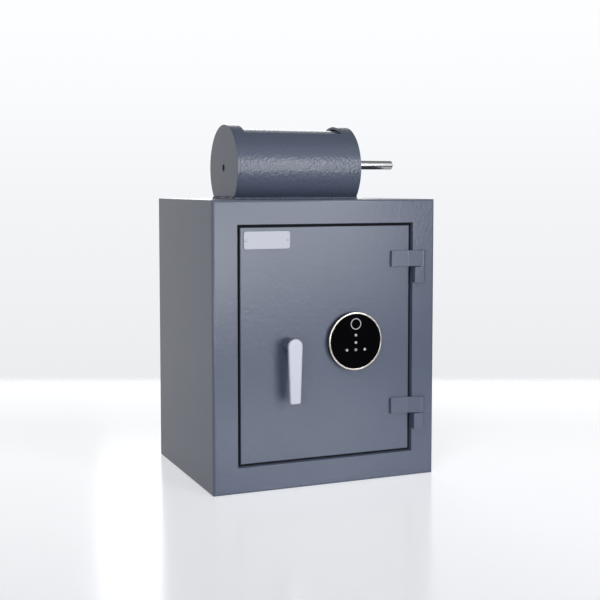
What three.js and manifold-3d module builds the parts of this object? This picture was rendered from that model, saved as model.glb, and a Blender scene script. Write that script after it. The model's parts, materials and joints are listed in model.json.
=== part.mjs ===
// A small steel safe with a rotary deposit drum on its roof and a front door with an electronic lock.
// Millimetres, +Z up, +X to the right seen from the door, +Y to the back.
// The origin is the middle of the base's underside.
import * as THREE from 'three';
import { mergeVertices } from 'three/addons/utils/BufferGeometryUtils.js';
import Module from 'manifold-3d';

const wasm = await Module();
wasm.setup();

// Clearances that several pieces share
const fit_gap = 0.3; // between a piece and the seat, bore or face that it works in
const overrun = 1; // how far a cutting shape runs past the face it cuts
const degree = Math.PI / 180;
const quarter_turn = 90; // degrees
const fine_sides = 60; // flats round the large round shapes
const plain_sides = 20; // round the middle-sized ones
const small_sides = 12; // round pins, screws and marks
const bend_steps = 4; // flats in a rounded edge

// Body: bent and welded sheet
const body_width = 336;
const body_depth = 264;
const body_height = 400;
const sheet = 3;
const edge_radius = 3.5; // outside bend at the front edges
const frame_return = 12; // how far the front frame folds back along the sides
const frame_side = 36; // width of the frame's face beside, above and below the doorway
const frame_top = 34;
const frame_bottom = 37;
const lip_radius = 4.5; // bend from the frame's face into the doorway

// Anchor holes, their plugs and the mat
const anchor_radius = 5;
const anchor_inset = 68; // from the body's sides
const plug_flange = 3; // how far a plug's flange stands out round its hole
const plug_flange_thickness = 1.5;
const mat_thickness = 3;
const mat_margin = 12; // from the mat's edge to the body's inside

// Door and its stops
const door_gap = 3.9; // beside the door
const door_end_gap = 3.1; // above and below it
const door_recess = 2.5; // door face behind the frame's face
const door_thickness = 5;
const door_edge_radius = 1;
const stop_clearance = 1; // from the door's back to the stops
const stop_thickness = 3;
const stop_reach = 9; // how far the stops show inside the doorway
const stop_seat = 5; // how far the stops reach behind the frame's lip

// Hinges: the arm on the door turns on a pin that stands in the block on the frame
const hinge_spacing = 211.5; // between the upper and the lower hinge's parting line
const hinge_drop = 3.2; // middle of the hinges below the door's middle
const hinge_axis_out = 5; // in front of the frame's face
const hinge_axis_inset = 22.3; // from the body's right side
const hinge_arm_height = 23;
const hinge_block_height = 22.5;
const hinge_parting = 0.5;
const hinge_arm_reach = 29.6; // arm's end from the door's right edge
const hinge_leaf_thickness = 4.5; // the arm's flat part, on the door
const hinge_crease = 3.1; // end of that flat part, from the door's right edge
const hinge_step = 1.1; // arm's step down onto the door, from the door's right edge
const hinge_pin_radius = 2.5;
const hinge_pin_seat = 18; // depth of the pin in block and in arm

// Drum housing on the roof
const drum_setback = 160; // drum axis behind the body's front
const drum_axis_height = 45.5; // above the roof
const housing_radius = 63.5;
const housing_wall = 4;
const housing_length = 195;
const housing_end = 4; // thickness of the end plates
const window_ring = 20; // full ring left at each end of the window
const window_half_angle = 36; // degrees either side of the top
const deposit_hole_half_width = 37.5;
const deposit_hole_side_gap = 2.5; // past the drum's ends

// Drum: a shell open on one side, between two discs
const drum_side_gap = 2; // between the drum and the housing's inside
const drum_shell_wall = 3;
const drum_shell_half_arc = 127; // degrees either side of the shell's middle
const drum_end_gap = 11.5; // from the drum's end to the housing's end plate
const drum_disc = 4;
const drum_hub_radius = 13;
const pivot_radius = 5;
const pivot_bore_gap = 0.5;
const pivot_head_radius = 9;
const pivot_head = 4;
const pivot_inset = 0.5; // pivot's end inside the end plate's outer face
const bush_flange_radius = 11;
const bush_thickness = 3;
const drum_turn = 180; // degrees from shut to open

// Grip rod, fixed in the drum's right disc, off the drum's axis
const rod_radius = 6.75;
const rod_inset = 19.5; // rod's axis inside the drum's edge
const rod_rest_angle = 7.5; // degrees above level, at the front
const rod_reach = 63; // past the housing's right end
const rod_chamfer = 1.5;
const rod_slot_gap = 1; // round the rod in the end plate's slot
const rod_collar_radius = 10;
const rod_collar_length = 8;

// Lock on the door
const lock_across_share = 0.5291; // of the way from the spindle to the door's right edge
const lock_radius = 41;
const lock_rim_width = 2.5;
const lock_rim_height = 2;
const lock_body_inset = 0.5; // body's side inside the rim's
const lock_body_height = 7;
const lock_glass_height = 1.75;
const ring_height = 24.5; // fingerprint ring's middle above the lock's
const ring_radius = 8;
const ring_line = 1.25;
const print_thickness = 0.25;
const mark_radius = 2;
const mark_pitch = 13.75;
const mark_first_height = 8.75; // upper mark above the lock's middle
const mark_second_drop = 10.5; // second mark below the first
const mark_row_drop = 10.25; // row of three below the second
const lead_hole_radius = 6; // for the lock's leads, through the door

// Bare plate at the door's upper left corner, and its rivets
const plate_side_gap = 5.1; // from the door's left edge
const plate_top_gap = 5.4;
const plate_width = 67;
const plate_height = 24;
const plate_thickness = 1.25;
const plate_corner = 3;
const rivet_spacing = 60;
const rivet_head_radius = 1.75;
const rivet_head_height = 0.75;
const rivet_shank_radius = 1;
const rivet_depth = 2.5;

// Lever handle, its spindle and the cam behind the door
const lever_top_radius = 10.6;
const lever_bottom_width = 15.8;
const lever_bottom_corner = 2.5;
const lever_drop = 79; // from the spindle to the lever's lower end
const lever_thickness = 4.5;
const lever_bevel = 1;
const boss_radius = 10;
const boss_length = 22;
const spindle_radius = 5;
const spindle_hole_radius = 7;
const bush_collar_radius = 9;
const bush_collar = 1.25;
const cam_standoff = 2.5; // from the door's back to the cam
const cam_thickness = 4;
const cam_radius = 17;
const cam_pin_radius = 3;
const cam_pin_offset = 12;
const cam_pin_past_bar = 1.5; // pin's end behind the bolt bar
const cam_pin_start = 45; // degrees right of straight down, with the bolts withdrawn
const spindle_nut_radius = 6.5; // six-sided head behind the cam
const spindle_nut_height = 2.5;

// Bolt work
const bolt_radius = 8;
const bolt_end_margin = 71.4; // from the door's top and bottom edges to the bolts' axes
const bolt_axis_depth = 21; // behind the frame's face
const bolt_tip_inset = 4; // withdrawn tip inside the left stop
const bolt_length = 35;
const bolt_chamfer = 1.5;
const bar_thickness = 3;
const bar_width = 46;
const bar_past_bolt = 15; // bar's end past the bolt's axis
const bar_shoulder_height = 45;
const bar_pin_edge = 8; // from the pin's slot to the bar's right edge
const bar_slot_gap = 0.5;
const bolt_throw = 17;
const stud_radius = 4;
const stud_head_radius = 6.5;
const stud_head = 2;
const stud_inset = 8; // from the bar's left edge, bolts withdrawn
const stud_upper_height = 28;
const stud_lower_drop = 50;
const guide_thickness = 3;
const guide_depth = 26;
const guide_half_height = 15;
const guide_foot = 15;
const guide_bore_gap = 0.6;
const guide_cover_gap = 4; // from the cover's left wall to the guides

// Bar on the hinge side that hooks behind the stop
const dead_bar_half_height = 100;
const dead_bar_web = 4;
const dead_bar_gap = 1; // beside the inner cover
const dead_bar_setback = 4.5; // behind the stop
const dead_bar_overlap = 3.5;
const dead_bar_flange = 6;

// Inner cover and what it carries
const cover_sheet = 1.5;
const cover_side_margin = 16.1; // from the door's side edges to the cover
const cover_end_margin = 15.4; // from its top and bottom edges
const cover_depth = 30.5;
const cover_bolt_gap = 1;
const post_radius = 5;
const post_inset = 10; // cover screw from the cover's edges
const screw_radius = 2;
const screw_head_radius = 4;
const screw_head_height = 2;
const screw_depth = 10;
const battery_width = 26.5;
const battery_depth = 17.5;
const battery_length = 48.5;
const battery_aside = 12.5; // battery's middle right of the lock's
const battery_drop = 70; // below the lock's middle
const battery_box_wall = 1.5;
const battery_rim = 3; // box wall hidden behind the cover
const battery_lid_thickness = 2;
const button_radius = 4;
const button_rise = 36; // button above the battery's middle
const button_proud = 1.5; // past the cover
const button_travel = 1.5;
const button_length = 6;
const switch_wall = 3;
const switch_depth = 12;
const solenoid_width = 28;
const solenoid_depth = 22;
const solenoid_height = 36;
const solenoid_inset = 11; // from the solenoid's left side to the plunger's axis
const solenoid_gap = 2; // beside the bar's neck
const plunger_radius = 3.5;
const plunger_length = 8.5;
const plunger_gap = 0.5; // above the bar's shoulder
const plunger_stroke = 6;
const board_width = 58;
const board_height = 44;
const board_thickness = 1.5;
const carrier_floor = 5;
const carrier_wall = 2;

// Finishes for a first look in the CAD view
const finishes = {
  paint: new THREE.MeshStandardMaterial({ color: 0x737887, roughness: 0.5, metalness: 0.1 }),
  steel: new THREE.MeshStandardMaterial({ color: 0xc8cacc, roughness: 0.25, metalness: 1 }),
  zinc: new THREE.MeshStandardMaterial({ color: 0xb4b6b4, roughness: 0.4, metalness: 0.9 }),
  handle: new THREE.MeshStandardMaterial({ color: 0xd7dce8, roughness: 0.3, metalness: 0.8 }),
  rim: new THREE.MeshStandardMaterial({ color: 0xc9bfae, roughness: 0.3, metalness: 0.9 }),
  glass: new THREE.MeshStandardMaterial({ color: 0x0b0b0d, roughness: 0.08, metalness: 0 }),
  black: new THREE.MeshStandardMaterial({ color: 0x151517, roughness: 0.5, metalness: 0 }),
  plate: new THREE.MeshStandardMaterial({ color: 0xd4d6d8, roughness: 0.35, metalness: 0.8 }),
  nylon: new THREE.MeshStandardMaterial({ color: 0xe6e2d6, roughness: 0.6, metalness: 0 }),
  mat: new THREE.MeshStandardMaterial({ color: 0x3a3d42, roughness: 1, metalness: 0 }),
  board: new THREE.MeshStandardMaterial({ color: 0x1f5a37, roughness: 0.5, metalness: 0 }),
  battery: new THREE.MeshStandardMaterial({ color: 0x2c2f38, roughness: 0.4, metalness: 0.3 }),
  red: new THREE.MeshStandardMaterial({ color: 0xb02a22, roughness: 0.4, metalness: 0 }),
};

// Shape helpers. A range is [low, high] along one axis.
function solid_of(geometry) {
  geometry.deleteAttribute('normal');
  geometry.deleteAttribute('uv');
  const merged = mergeVertices(geometry);
  return new wasm.Manifold(
    new wasm.Mesh({
      numProp: 3,
      vertProperties: merged.attributes.position.array,
      triVerts: Uint32Array.from(merged.index.array),
    }),
  );
}

function block(x_range, y_range, z_range) {
  const geometry = new THREE.BoxGeometry(1, 1, 1);
  const position = geometry.attributes.position;
  for (let i = 0; i < position.count; i += 1) {
    const x = x_range[position.getX(i) < 0 ? 0 : 1];
    const y = y_range[position.getY(i) < 0 ? 0 : 1];
    const z = z_range[position.getZ(i) < 0 ? 0 : 1];
    position.setXYZ(i, x, y, z);
  }
  return solid_of(geometry);
}

// A prism's outline is drawn in y-z for an x axis, in x-z for a y axis and in x-y for a z axis.
function prism(axis, outline, range) {
  const shape = new THREE.Shape(outline.map(([a, b]) => new THREE.Vector2(a, b)));
  const geometry = new THREE.ExtrudeGeometry(shape, { depth: 1, bevelEnabled: false });
  const position = geometry.attributes.position;
  for (let i = 0; i < position.count; i += 1) {
    const a = position.getX(i);
    const b = position.getY(i);
    const far = position.getZ(i) > 0;
    if (axis === 'x') {
      position.setXYZ(i, range[far ? 1 : 0], a, b);
    } else if (axis === 'y') {
      position.setXYZ(i, a, range[far ? 0 : 1], b);
    } else {
      position.setXYZ(i, a, b, range[far ? 1 : 0]);
    }
  }
  return solid_of(geometry);
}

function arc(centre, radius, start, end, steps) {
  const points = [];
  for (let i = 0; i <= steps; i += 1) {
    const angle = (start + ((end - start) * i) / steps) * degree;
    points.push([centre[0] + radius * Math.cos(angle), centre[1] + radius * Math.sin(angle)]);
  }
  return points;
}

function circle(centre, radius, sides = plain_sides) {
  return arc(centre, radius, 0, 360, sides).slice(0, sides);
}

function round_bar(axis, centre, radius, range, sides = plain_sides) {
  return prism(axis, circle(centre, radius, sides), range);
}

function round_rectangle(centre, width, height, radius, steps = bend_steps) {
  const x = width / 2 - radius;
  const z = height / 2 - radius;
  const corners = [[x, z], [-x, z], [-x, -z], [x, -z]];
  return corners.flatMap(([a, b], i) =>
    arc([centre[0] + a, centre[1] + b], radius, i * quarter_turn, (i + 1) * quarter_turn, steps));
}

// A turned piece along x: the profile is [radius, x] pairs from the axis round to the axis again.
function turned(centre, profile, sides = plain_sides) {
  const points = profile.map(([radius, x]) => new THREE.Vector2(radius, x));
  const geometry = new THREE.LatheGeometry(points, sides);
  const position = geometry.attributes.position;
  for (let i = 0; i < position.count; i += 1) {
    const x = position.getY(i);
    position.setXYZ(i, x, centre[0] + position.getZ(i), centre[1] + position.getX(i));
  }
  return solid_of(geometry);
}

// A block seen from the front whose size changes with depth: its profile is [inset, depth] pairs
// from front to back, and x and z sizes shrink by the inset on every side.
function tapered_block(x_range, z_range, profile) {
  const side = (range) => [
    ...profile.map(([inset, y]) => [range[0] + inset, y]),
    ...profile.map(([inset, y]) => [range[1] - inset, y]).reverse(),
  ];
  const plan = prism('z', side(x_range), [z_range[0] - overrun, z_range[1] + overrun]);
  const upright = side(z_range).map(([z, y]) => [y, z]).reverse();
  const section = prism('x', upright, [x_range[0] - overrun, x_range[1] + overrun]);
  return plan.intersect(section);
}

// Rounded front edge of an outer block, and the flared mouth of an opening
function rounded_front(front, radius, back) {
  const bend = arc([radius, front + radius], radius, 270, 180, bend_steps);
  return [...bend, [0, back]];
}

function flared_mouth(front, radius, back) {
  const bend = arc([-radius, front + radius], radius, -90, 0, bend_steps);
  return [[-radius, front - overrun], ...bend, [0, back]];
}

const safe = new THREE.Group();
const door = new THREE.Group();
const handle = new THREE.Group();
const drum = new THREE.Group();

function add(group, name, finish, shape) {
  const { vertProperties, triVerts } = shape.getMesh();
  const geometry = new THREE.BufferGeometry();
  geometry.setAttribute('position', new THREE.BufferAttribute(Float32Array.from(vertProperties), 3));
  geometry.setIndex(new THREE.BufferAttribute(Uint32Array.from(triVerts), 1));
  geometry.computeVertexNormals();
  const mesh = new THREE.Mesh(geometry, finishes[finish]);
  mesh.name = name;
  group.add(mesh);
}

// Places that the body's pieces share
const half_width = body_width / 2;
const front = -body_depth / 2;
const back = body_depth / 2;
const doorway_x = half_width - frame_side;
const doorway_low = frame_bottom;
const doorway_high = body_height - frame_top;
const doorway_middle = (doorway_low + doorway_high) / 2;
const doorway_half_height = (doorway_high - doorway_low) / 2;
const frame_back = front + frame_return;
const stop_depth = door_recess + door_thickness + stop_clearance;

// Front frame: face, outer return and the lip that leads into the doorway
function front_frame() {
  const outer = tapered_block(
    [-half_width, half_width], [0, body_height], rounded_front(front, edge_radius, frame_back));
  const doorway = tapered_block(
    [-doorway_x, doorway_x], [doorway_low, doorway_high],
    flared_mouth(front, lip_radius, frame_back + overrun));
  const hollow = block(
    [sheet - half_width, half_width - sheet],
    [front + sheet, frame_back + overrun],
    [sheet, body_height - sheet]);
  const lip = block(
    [-doorway_x - sheet, doorway_x + sheet],
    [front, front + stop_depth],
    [doorway_low - sheet, doorway_high + sheet]);
  return outer.subtract(hollow.subtract(lip)).subtract(doorway);
}
add(safe, 'front_frame', 'paint', front_frame());

// Stop ring that the door closes against, welded to the back of the lip
function stop_ring() {
  const depth = [front + stop_depth, front + stop_depth + stop_thickness];
  const outer_x = doorway_x + stop_seat;
  const inner_x = doorway_x - stop_reach;
  const ring = block([-outer_x, outer_x], depth, [doorway_low - stop_seat, doorway_high + stop_seat]);
  return ring.subtract(block(
    [-inner_x, inner_x], [depth[0] - overrun, depth[1] + overrun],
    [doorway_low + stop_reach, doorway_high - stop_reach]));
}
add(safe, 'stop_ring', 'paint', stop_ring());

// Sides, floor and back
const panel_depth = [frame_back, back - sheet];
for (const [name, side] of [['left', -1], ['right', 1]]) {
  const inner = side * (half_width - sheet);
  const outer = side * half_width;
  const x_range = side < 0 ? [outer, inner] : [inner, outer];
  add(safe, `side_panel_${name}`, 'paint', block(x_range, panel_depth, [sheet, body_height - sheet]));
}

const anchors = { left: [anchor_inset - half_width, 0], right: [half_width - anchor_inset, 0] };

function bottom_plate() {
  let plate = block([-half_width, half_width], panel_depth, [0, sheet]);
  for (const place of Object.values(anchors)) {
    plate = plate.subtract(round_bar('z', place, anchor_radius, [-overrun, sheet + overrun], small_sides));
  }
  return plate;
}
add(safe, 'bottom_plate', 'paint', bottom_plate());

add(safe, 'back_plate', 'paint', block([-half_width, half_width], [back - sheet, back], [0, body_height]));

// Plugs in the floor's anchor holes, with their flanges inside
for (const [name, place] of Object.entries(anchors)) {
  const shank = round_bar('z', place, anchor_radius - fit_gap, [fit_gap, sheet], small_sides);
  const flange = round_bar(
    'z', place, anchor_radius + plug_flange, [sheet, sheet + plug_flange_thickness], small_sides);
  add(safe, `anchor_plug_${name}`, 'black', shank.add(flange));
}

function floor_mat() {
  const x = half_width - sheet - mat_margin;
  const y_range = [front + stop_depth + stop_thickness + mat_margin, back - sheet - mat_margin];
  let mat = block([-x, x], y_range, [sheet, sheet + mat_thickness]);
  const clear = anchor_radius + plug_flange + fit_gap;
  for (const place of Object.values(anchors)) {
    const depth = [sheet - overrun, sheet + mat_thickness + overrun];
    mat = mat.subtract(round_bar('z', place, clear, depth, small_sides));
  }
  return mat;
}
add(safe, 'floor_mat', 'mat', floor_mat());

// Drum housing: places that the roof, the housing and the drum share
const drum_y = front + drum_setback;
const drum_z = body_height + drum_axis_height;
const drum_centre = [drum_y, drum_z];
const housing_half = housing_length / 2;
const end_inside = housing_half - housing_end;
const housing_bore = housing_radius - housing_wall;
const drum_radius = housing_bore - drum_side_gap;
const drum_half = end_inside - drum_end_gap;
const rod_offset = drum_radius - rod_inset;
const pivot_bore = pivot_radius + pivot_bore_gap;

function top_plate() {
  const hole_x = drum_half + deposit_hole_side_gap;
  const z_range = [body_height - sheet, body_height];
  const plate = block([-half_width, half_width], panel_depth, z_range);
  const hole = block(
    [-hole_x, hole_x],
    [drum_y - deposit_hole_half_width, drum_y + deposit_hole_half_width],
    [z_range[0] - overrun, z_range[1] + overrun]);
  return plate.subtract(hole);
}
add(safe, 'top_plate', 'paint', top_plate());

// Everything below the roof, to give the housing its flat foot
function below_roof() {
  const x = housing_half + overrun;
  return block(
    [-x, x],
    [drum_y - housing_radius - overrun, drum_y + housing_radius + overrun],
    [drum_z - housing_radius - overrun, body_height]);
}

function drum_housing() {
  const range = [-end_inside, end_inside];
  const past = [-end_inside - overrun, end_inside + overrun];
  const window_half = housing_half - window_ring;
  const reach = 2 * housing_radius;
  const sides = [quarter_turn - window_half_angle, quarter_turn + window_half_angle];
  const wedge = arc(drum_centre, reach, ...sides, bend_steps);
  return round_bar('x', drum_centre, housing_radius, range, fine_sides)
    .subtract(round_bar('x', drum_centre, housing_bore, past, fine_sides))
    .subtract(prism('x', [drum_centre, ...wedge], [-window_half, window_half]))
    .subtract(below_roof());
}
add(safe, 'drum_housing', 'paint', drum_housing());

// The rod's arc through the right end plate, from shut at the front to open at the back
function rod_slot(x_range) {
  const clear = rod_radius + rod_slot_gap;
  const shut = 180 - rod_rest_angle;
  const open = shut - drum_turn;
  const steps = fine_sides / 2;
  const outer = arc(drum_centre, rod_offset + clear, open, shut, steps);
  const inner = arc(drum_centre, rod_offset - clear, shut, open, steps);
  let slot = prism('x', [...outer, ...inner], x_range);
  for (const angle of [open, shut]) {
    const end = arc(drum_centre, rod_offset, angle, angle, 1)[0];
    slot = slot.add(round_bar('x', end, clear, x_range));
  }
  return slot;
}

for (const [name, side] of [['left', -1], ['right', 1]]) {
  const along = (near, far) => (side < 0 ? [-far, -near] : [near, far]);
  const past = along(end_inside - overrun, housing_half + overrun);
  let plate = round_bar('x', drum_centre, housing_radius, along(end_inside, housing_half), fine_sides)
    .subtract(round_bar('x', drum_centre, pivot_bore, past))
    .subtract(below_roof());
  if (name === 'right') {
    plate = plate.subtract(rod_slot(past));
  }
  add(safe, `housing_end_${name}`, 'paint', plate);

  const bush = along(end_inside - bush_thickness, end_inside);
  const bush_past = along(end_inside - bush_thickness - overrun, end_inside + overrun);
  add(safe, `axle_bush_${name}`, 'nylon', round_bar('x', drum_centre, bush_flange_radius, bush)
    .subtract(round_bar('x', drum_centre, pivot_bore, bush_past)));
}

// Drum, in its own frame on its axis. At rest its open side is down over the hole in the roof.
drum.position.set(0, drum_y, drum_z);
const shell_half = drum_half - drum_disc;

function drum_shell() {
  const low = quarter_turn - drum_shell_half_arc;
  const high = quarter_turn + drum_shell_half_arc;
  const outer = arc([0, 0], drum_radius, low, high, fine_sides);
  const inner = arc([0, 0], drum_radius - drum_shell_wall, high, low, fine_sides);
  return prism('x', [...outer, ...inner], [-shell_half, shell_half]);
}
add(drum, 'drum_shell', 'paint', drum_shell());

const rod_place = arc([0, 0], rod_offset, 180 - rod_rest_angle, 180, 1)[0];
const hub_end = end_inside - bush_thickness - fit_gap;

for (const [name, side] of [['left', -1], ['right', 1]]) {
  const along = (near, far) => (side < 0 ? [-far, -near] : [near, far]);
  const past = along(shell_half - overrun, hub_end + overrun);
  let disc = round_bar('x', [0, 0], drum_radius, along(shell_half, drum_half), fine_sides)
    .add(round_bar('x', [0, 0], drum_hub_radius, along(drum_half, hub_end)))
    .subtract(round_bar('x', [0, 0], pivot_radius + fit_gap, past));
  if (name === 'right') {
    disc = disc.subtract(round_bar('x', rod_place, rod_radius + fit_gap, past));
  }
  add(drum, `drum_disc_${name}`, 'paint', disc);

  const head = along(shell_half - pivot_head, shell_half);
  const shank = along(shell_half, housing_half - pivot_inset);
  add(drum, `drum_pivot_${name}`, 'zinc', round_bar('x', [0, 0], pivot_head_radius, head)
    .add(round_bar('x', [0, 0], pivot_radius, shank)));
}

function grip_rod() {
  const tip = housing_half + rod_reach;
  return turned(rod_place, [
    [0, shell_half],
    [rod_radius, shell_half],
    [rod_radius, tip - rod_chamfer],
    [rod_radius - rod_chamfer, tip],
    [0, tip],
  ]);
}
add(drum, 'grip_rod', 'steel', grip_rod());

function rod_collar() {
  const range = [drum_half, drum_half + rod_collar_length];
  const past = [range[0] - overrun, range[1] + overrun];
  return round_bar('x', rod_place, rod_collar_radius, range)
    .subtract(round_bar('x', rod_place, rod_radius + fit_gap, past));
}
add(drum, 'rod_collar', 'zinc', rod_collar());

// Door, in a frame at the middle of the doorway on the frame's face, y to the back
door.position.set(0, front, doorway_middle);
const door_half_width = doorway_x - door_gap;
const door_half_height = doorway_half_height - door_end_gap;
const door_face = door_recess;
const door_back = door_recess + door_thickness;
const plate_hole_past = [door_face - overrun, door_back + overrun];
const cover_half_width = door_half_width - cover_side_margin;
const cover_half_height = door_half_height - cover_end_margin;
const cover_back = door_back + cover_depth;
const cover_inside = cover_back - cover_sheet;
const corners = [[-1, -1], [1, -1], [1, 1], [-1, 1]];
const post_places = corners.map(([x, z]) => [
  x * (cover_half_width - post_inset),
  z * (cover_half_height - post_inset),
]);
const plate_x = plate_side_gap + plate_width / 2 - door_half_width;
const plate_z = door_half_height - plate_top_gap - plate_height / 2;
const rivets = [-1, 1].map((side) => [plate_x + (side * rivet_spacing) / 2, plate_z]);

// The bolt bar stands behind the door's left edge, the spindle is where its cam's pin fits the bar,
// and the lock has its place between the spindle and the door's right edge.
const stop_inner_x = doorway_x - stop_reach;
const bolt_height = door_half_height - bolt_end_margin;
const bolt_tip = bolt_tip_inset - stop_inner_x;
const bar_left = bolt_tip + bolt_length;
const bar_right = bar_left + bar_width;
const pin_x = bar_right - bar_pin_edge - bar_slot_gap - cam_pin_radius;
const cam_pin_place = arc([0, 0], cam_pin_offset, cam_pin_start - quarter_turn, 0, 1)[0];
const handle_x = pin_x - cam_pin_place[0];
const lock_x = handle_x + lock_across_share * (door_half_width - handle_x);

function door_plate() {
  const slab = tapered_block(
    [-door_half_width, door_half_width], [-door_half_height, door_half_height],
    rounded_front(door_face, door_edge_radius, door_back));
  const holes = [
    round_bar('y', [handle_x, 0], spindle_hole_radius, plate_hole_past),
    round_bar('y', [lock_x, 0], lead_hole_radius, plate_hole_past),
  ];
  for (const place of rivets) {
    const depth = [door_face - overrun, door_face + rivet_depth];
    holes.push(round_bar('y', place, rivet_shank_radius + fit_gap, depth, small_sides));
  }
  const posts = post_places.map((place) =>
    round_bar('y', place, post_radius, [door_back, cover_inside], small_sides));
  for (const place of post_places) {
    const depth = [cover_inside - screw_depth, cover_inside + overrun];
    holes.push(round_bar('y', place, screw_radius + fit_gap, depth, small_sides));
  }
  const welded = posts.reduce((plate, post) => plate.add(post), slab);
  return holes.reduce((plate, hole) => plate.subtract(hole), welded);
}
add(door, 'door_plate', 'paint', door_plate());

// Hinges. Heights are of the parting line between arm and block, from the door's middle.
const hinge_x = half_width - hinge_axis_inset;
const hinge_y = -hinge_axis_out;
const knuckle_radius = hinge_axis_out - fit_gap;
const hinge_heights = {
  upper: hinge_spacing / 2 - hinge_drop,
  lower: -hinge_spacing / 2 - hinge_drop,
};

// A flat leaf on the door, then a slope that runs out over the gap and touches the knuckle
function hinge_arm(height) {
  const end = door_half_width - hinge_arm_reach;
  const step = door_half_width - hinge_step;
  const crease = door_half_width - hinge_crease;
  const leaf_front = door_face - hinge_leaf_thickness;
  const across = hinge_x - crease;
  const out = leaf_front - hinge_y;
  const to_touch = Math.asin(knuckle_radius / Math.hypot(across, out));
  const slope = (Math.atan2(out, across) + to_touch) / degree;
  const outline = [
    [end, door_face],
    [end, leaf_front],
    [crease, leaf_front],
    ...arc([hinge_x, hinge_y], knuckle_radius, -90 - slope, 90, 2 * bend_steps),
    [step, hinge_y + knuckle_radius],
    [step, door_face],
  ];
  const low = height + hinge_parting / 2;
  const bore = round_bar(
    'z', [hinge_x, hinge_y], hinge_pin_radius + fit_gap,
    [low - overrun, low + hinge_pin_seat + fit_gap], small_sides);
  return prism('z', outline, [low, low + hinge_arm_height]).subtract(bore);
}

function hinge_block(height) {
  const high = doorway_middle + height - hinge_parting / 2;
  const proud = hinge_y - knuckle_radius;
  const outline = [
    [doorway_x, front],
    [doorway_x, front + proud],
    ...arc([hinge_x, front + hinge_y], knuckle_radius, -90, 0, bend_steps),
    [hinge_x + knuckle_radius, front],
  ];
  const bore = round_bar(
    'z', [hinge_x, front + hinge_y], hinge_pin_radius + fit_gap,
    [high - hinge_pin_seat, high + overrun], small_sides);
  return prism('z', outline, [high - hinge_block_height, high]).subtract(bore);
}

function hinge_pin(height) {
  const middle = doorway_middle + height;
  const low = middle - hinge_parting / 2 - hinge_pin_seat;
  const high = middle + hinge_parting / 2 + hinge_pin_seat;
  return round_bar('z', [hinge_x, front + hinge_y], hinge_pin_radius, [low, high], small_sides);
}

for (const [name, height] of Object.entries(hinge_heights)) {
  add(door, `hinge_arm_${name}`, 'paint', hinge_arm(height));
  add(safe, `hinge_block_${name}`, 'paint', hinge_block(height));
  add(safe, `hinge_pin_${name}`, 'steel', hinge_pin(height));
}

// Lock: black body, metal rim and glass face with touch marks and a fingerprint ring
const lock_centre = [lock_x, 0];
const lock_seat = door_face - lock_body_height;
const glass_face = lock_seat - lock_glass_height;
const lock_rim_inner = lock_radius - lock_rim_width;
add(door, 'lock_body', 'black', round_bar(
  'y', lock_centre, lock_radius - lock_body_inset, [lock_seat, door_face], fine_sides));

function lock_rim() {
  const depth = [lock_seat - lock_rim_height, lock_seat];
  const past = [depth[0] - overrun, depth[1] + overrun];
  return round_bar('y', lock_centre, lock_radius, depth, fine_sides)
    .subtract(round_bar('y', lock_centre, lock_rim_inner, past, fine_sides));
}
add(door, 'lock_rim', 'rim', lock_rim());

function lock_glass() {
  const second = mark_first_height - mark_second_drop;
  const row = second - mark_row_drop;
  const places = [[0, mark_first_height], [0, second], [-mark_pitch, row], [0, row], [mark_pitch, row]];
  const print = [glass_face - print_thickness, glass_face];
  const marks = places.map(([x, z]) => round_bar('y', [lock_x + x, z], mark_radius, print, small_sides));
  const ring_centre = [lock_x, ring_height];
  const past = [print[0] - overrun, print[1] + overrun];
  const ring = round_bar('y', ring_centre, ring_radius, print)
    .subtract(round_bar('y', ring_centre, ring_radius - ring_line, past));
  return [ring, ...marks].reduce((glass, mark) => glass.add(mark), round_bar(
    'y', lock_centre, lock_rim_inner - fit_gap, [glass_face, lock_seat], fine_sides));
}
add(door, 'lock_glass', 'glass', lock_glass());

// Bare plate, with the two rivets that are closed over it
function bare_plate() {
  const seat = door_face - plate_thickness;
  const outline = round_rectangle([plate_x, plate_z], plate_width, plate_height, plate_corner);
  let plate = prism('y', outline, [seat, door_face]);
  for (const place of rivets) {
    plate = plate
      .add(round_bar('y', place, rivet_head_radius, [seat - rivet_head_height, seat], small_sides))
      .add(round_bar('y', place, rivet_shank_radius, [seat, door_face + rivet_depth - fit_gap], small_sides));
  }
  return plate;
}
add(door, 'bare_plate', 'plate', bare_plate());

// Handle, in a frame on its spindle. At rest the lever hangs down and the bolts are withdrawn.
handle.position.set(handle_x, 0, 0);
const boss_back = door_face - fit_gap;
const lever_back = boss_back - boss_length;
const cam_front = door_back + cam_standoff;
const cam_back = cam_front + cam_thickness;

function handle_lever() {
  const half = lever_bottom_width / 2;
  const corner = lever_bottom_corner;
  const outline = [
    ...arc([0, 0], lever_top_radius, 0, 180, fine_sides / 2),
    ...arc([corner - half, corner - lever_drop], corner, 180, 270, bend_steps),
    ...arc([half - corner, corner - lever_drop], corner, 270, 360, bend_steps),
  ];
  const shrink = (inset) => outline.map(([x, z]) => {
    const across = 1 - inset / lever_top_radius;
    const middle = (lever_top_radius - lever_drop) / 2;
    const half_height = (lever_top_radius + lever_drop) / 2;
    return [x * across, middle + (z - middle) * (1 - inset / half_height)];
  });
  const lever_front = lever_back - lever_thickness;
  const flats = prism('y', shrink(lever_bevel), [lever_front, lever_back]);
  return flats.add(prism('y', outline, [lever_front + lever_bevel, lever_back - lever_bevel]));
}
add(handle, 'handle_lever', 'handle', handle_lever());
add(handle, 'handle_boss', 'paint', round_bar('y', [0, 0], boss_radius, [lever_back, boss_back]));
add(handle, 'spindle', 'steel', round_bar('y', [0, 0], spindle_radius, [boss_back, cam_back])
  .add(round_bar('y', [0, 0], spindle_nut_radius, [cam_back, cam_back + spindle_nut_height], 6)));

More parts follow.
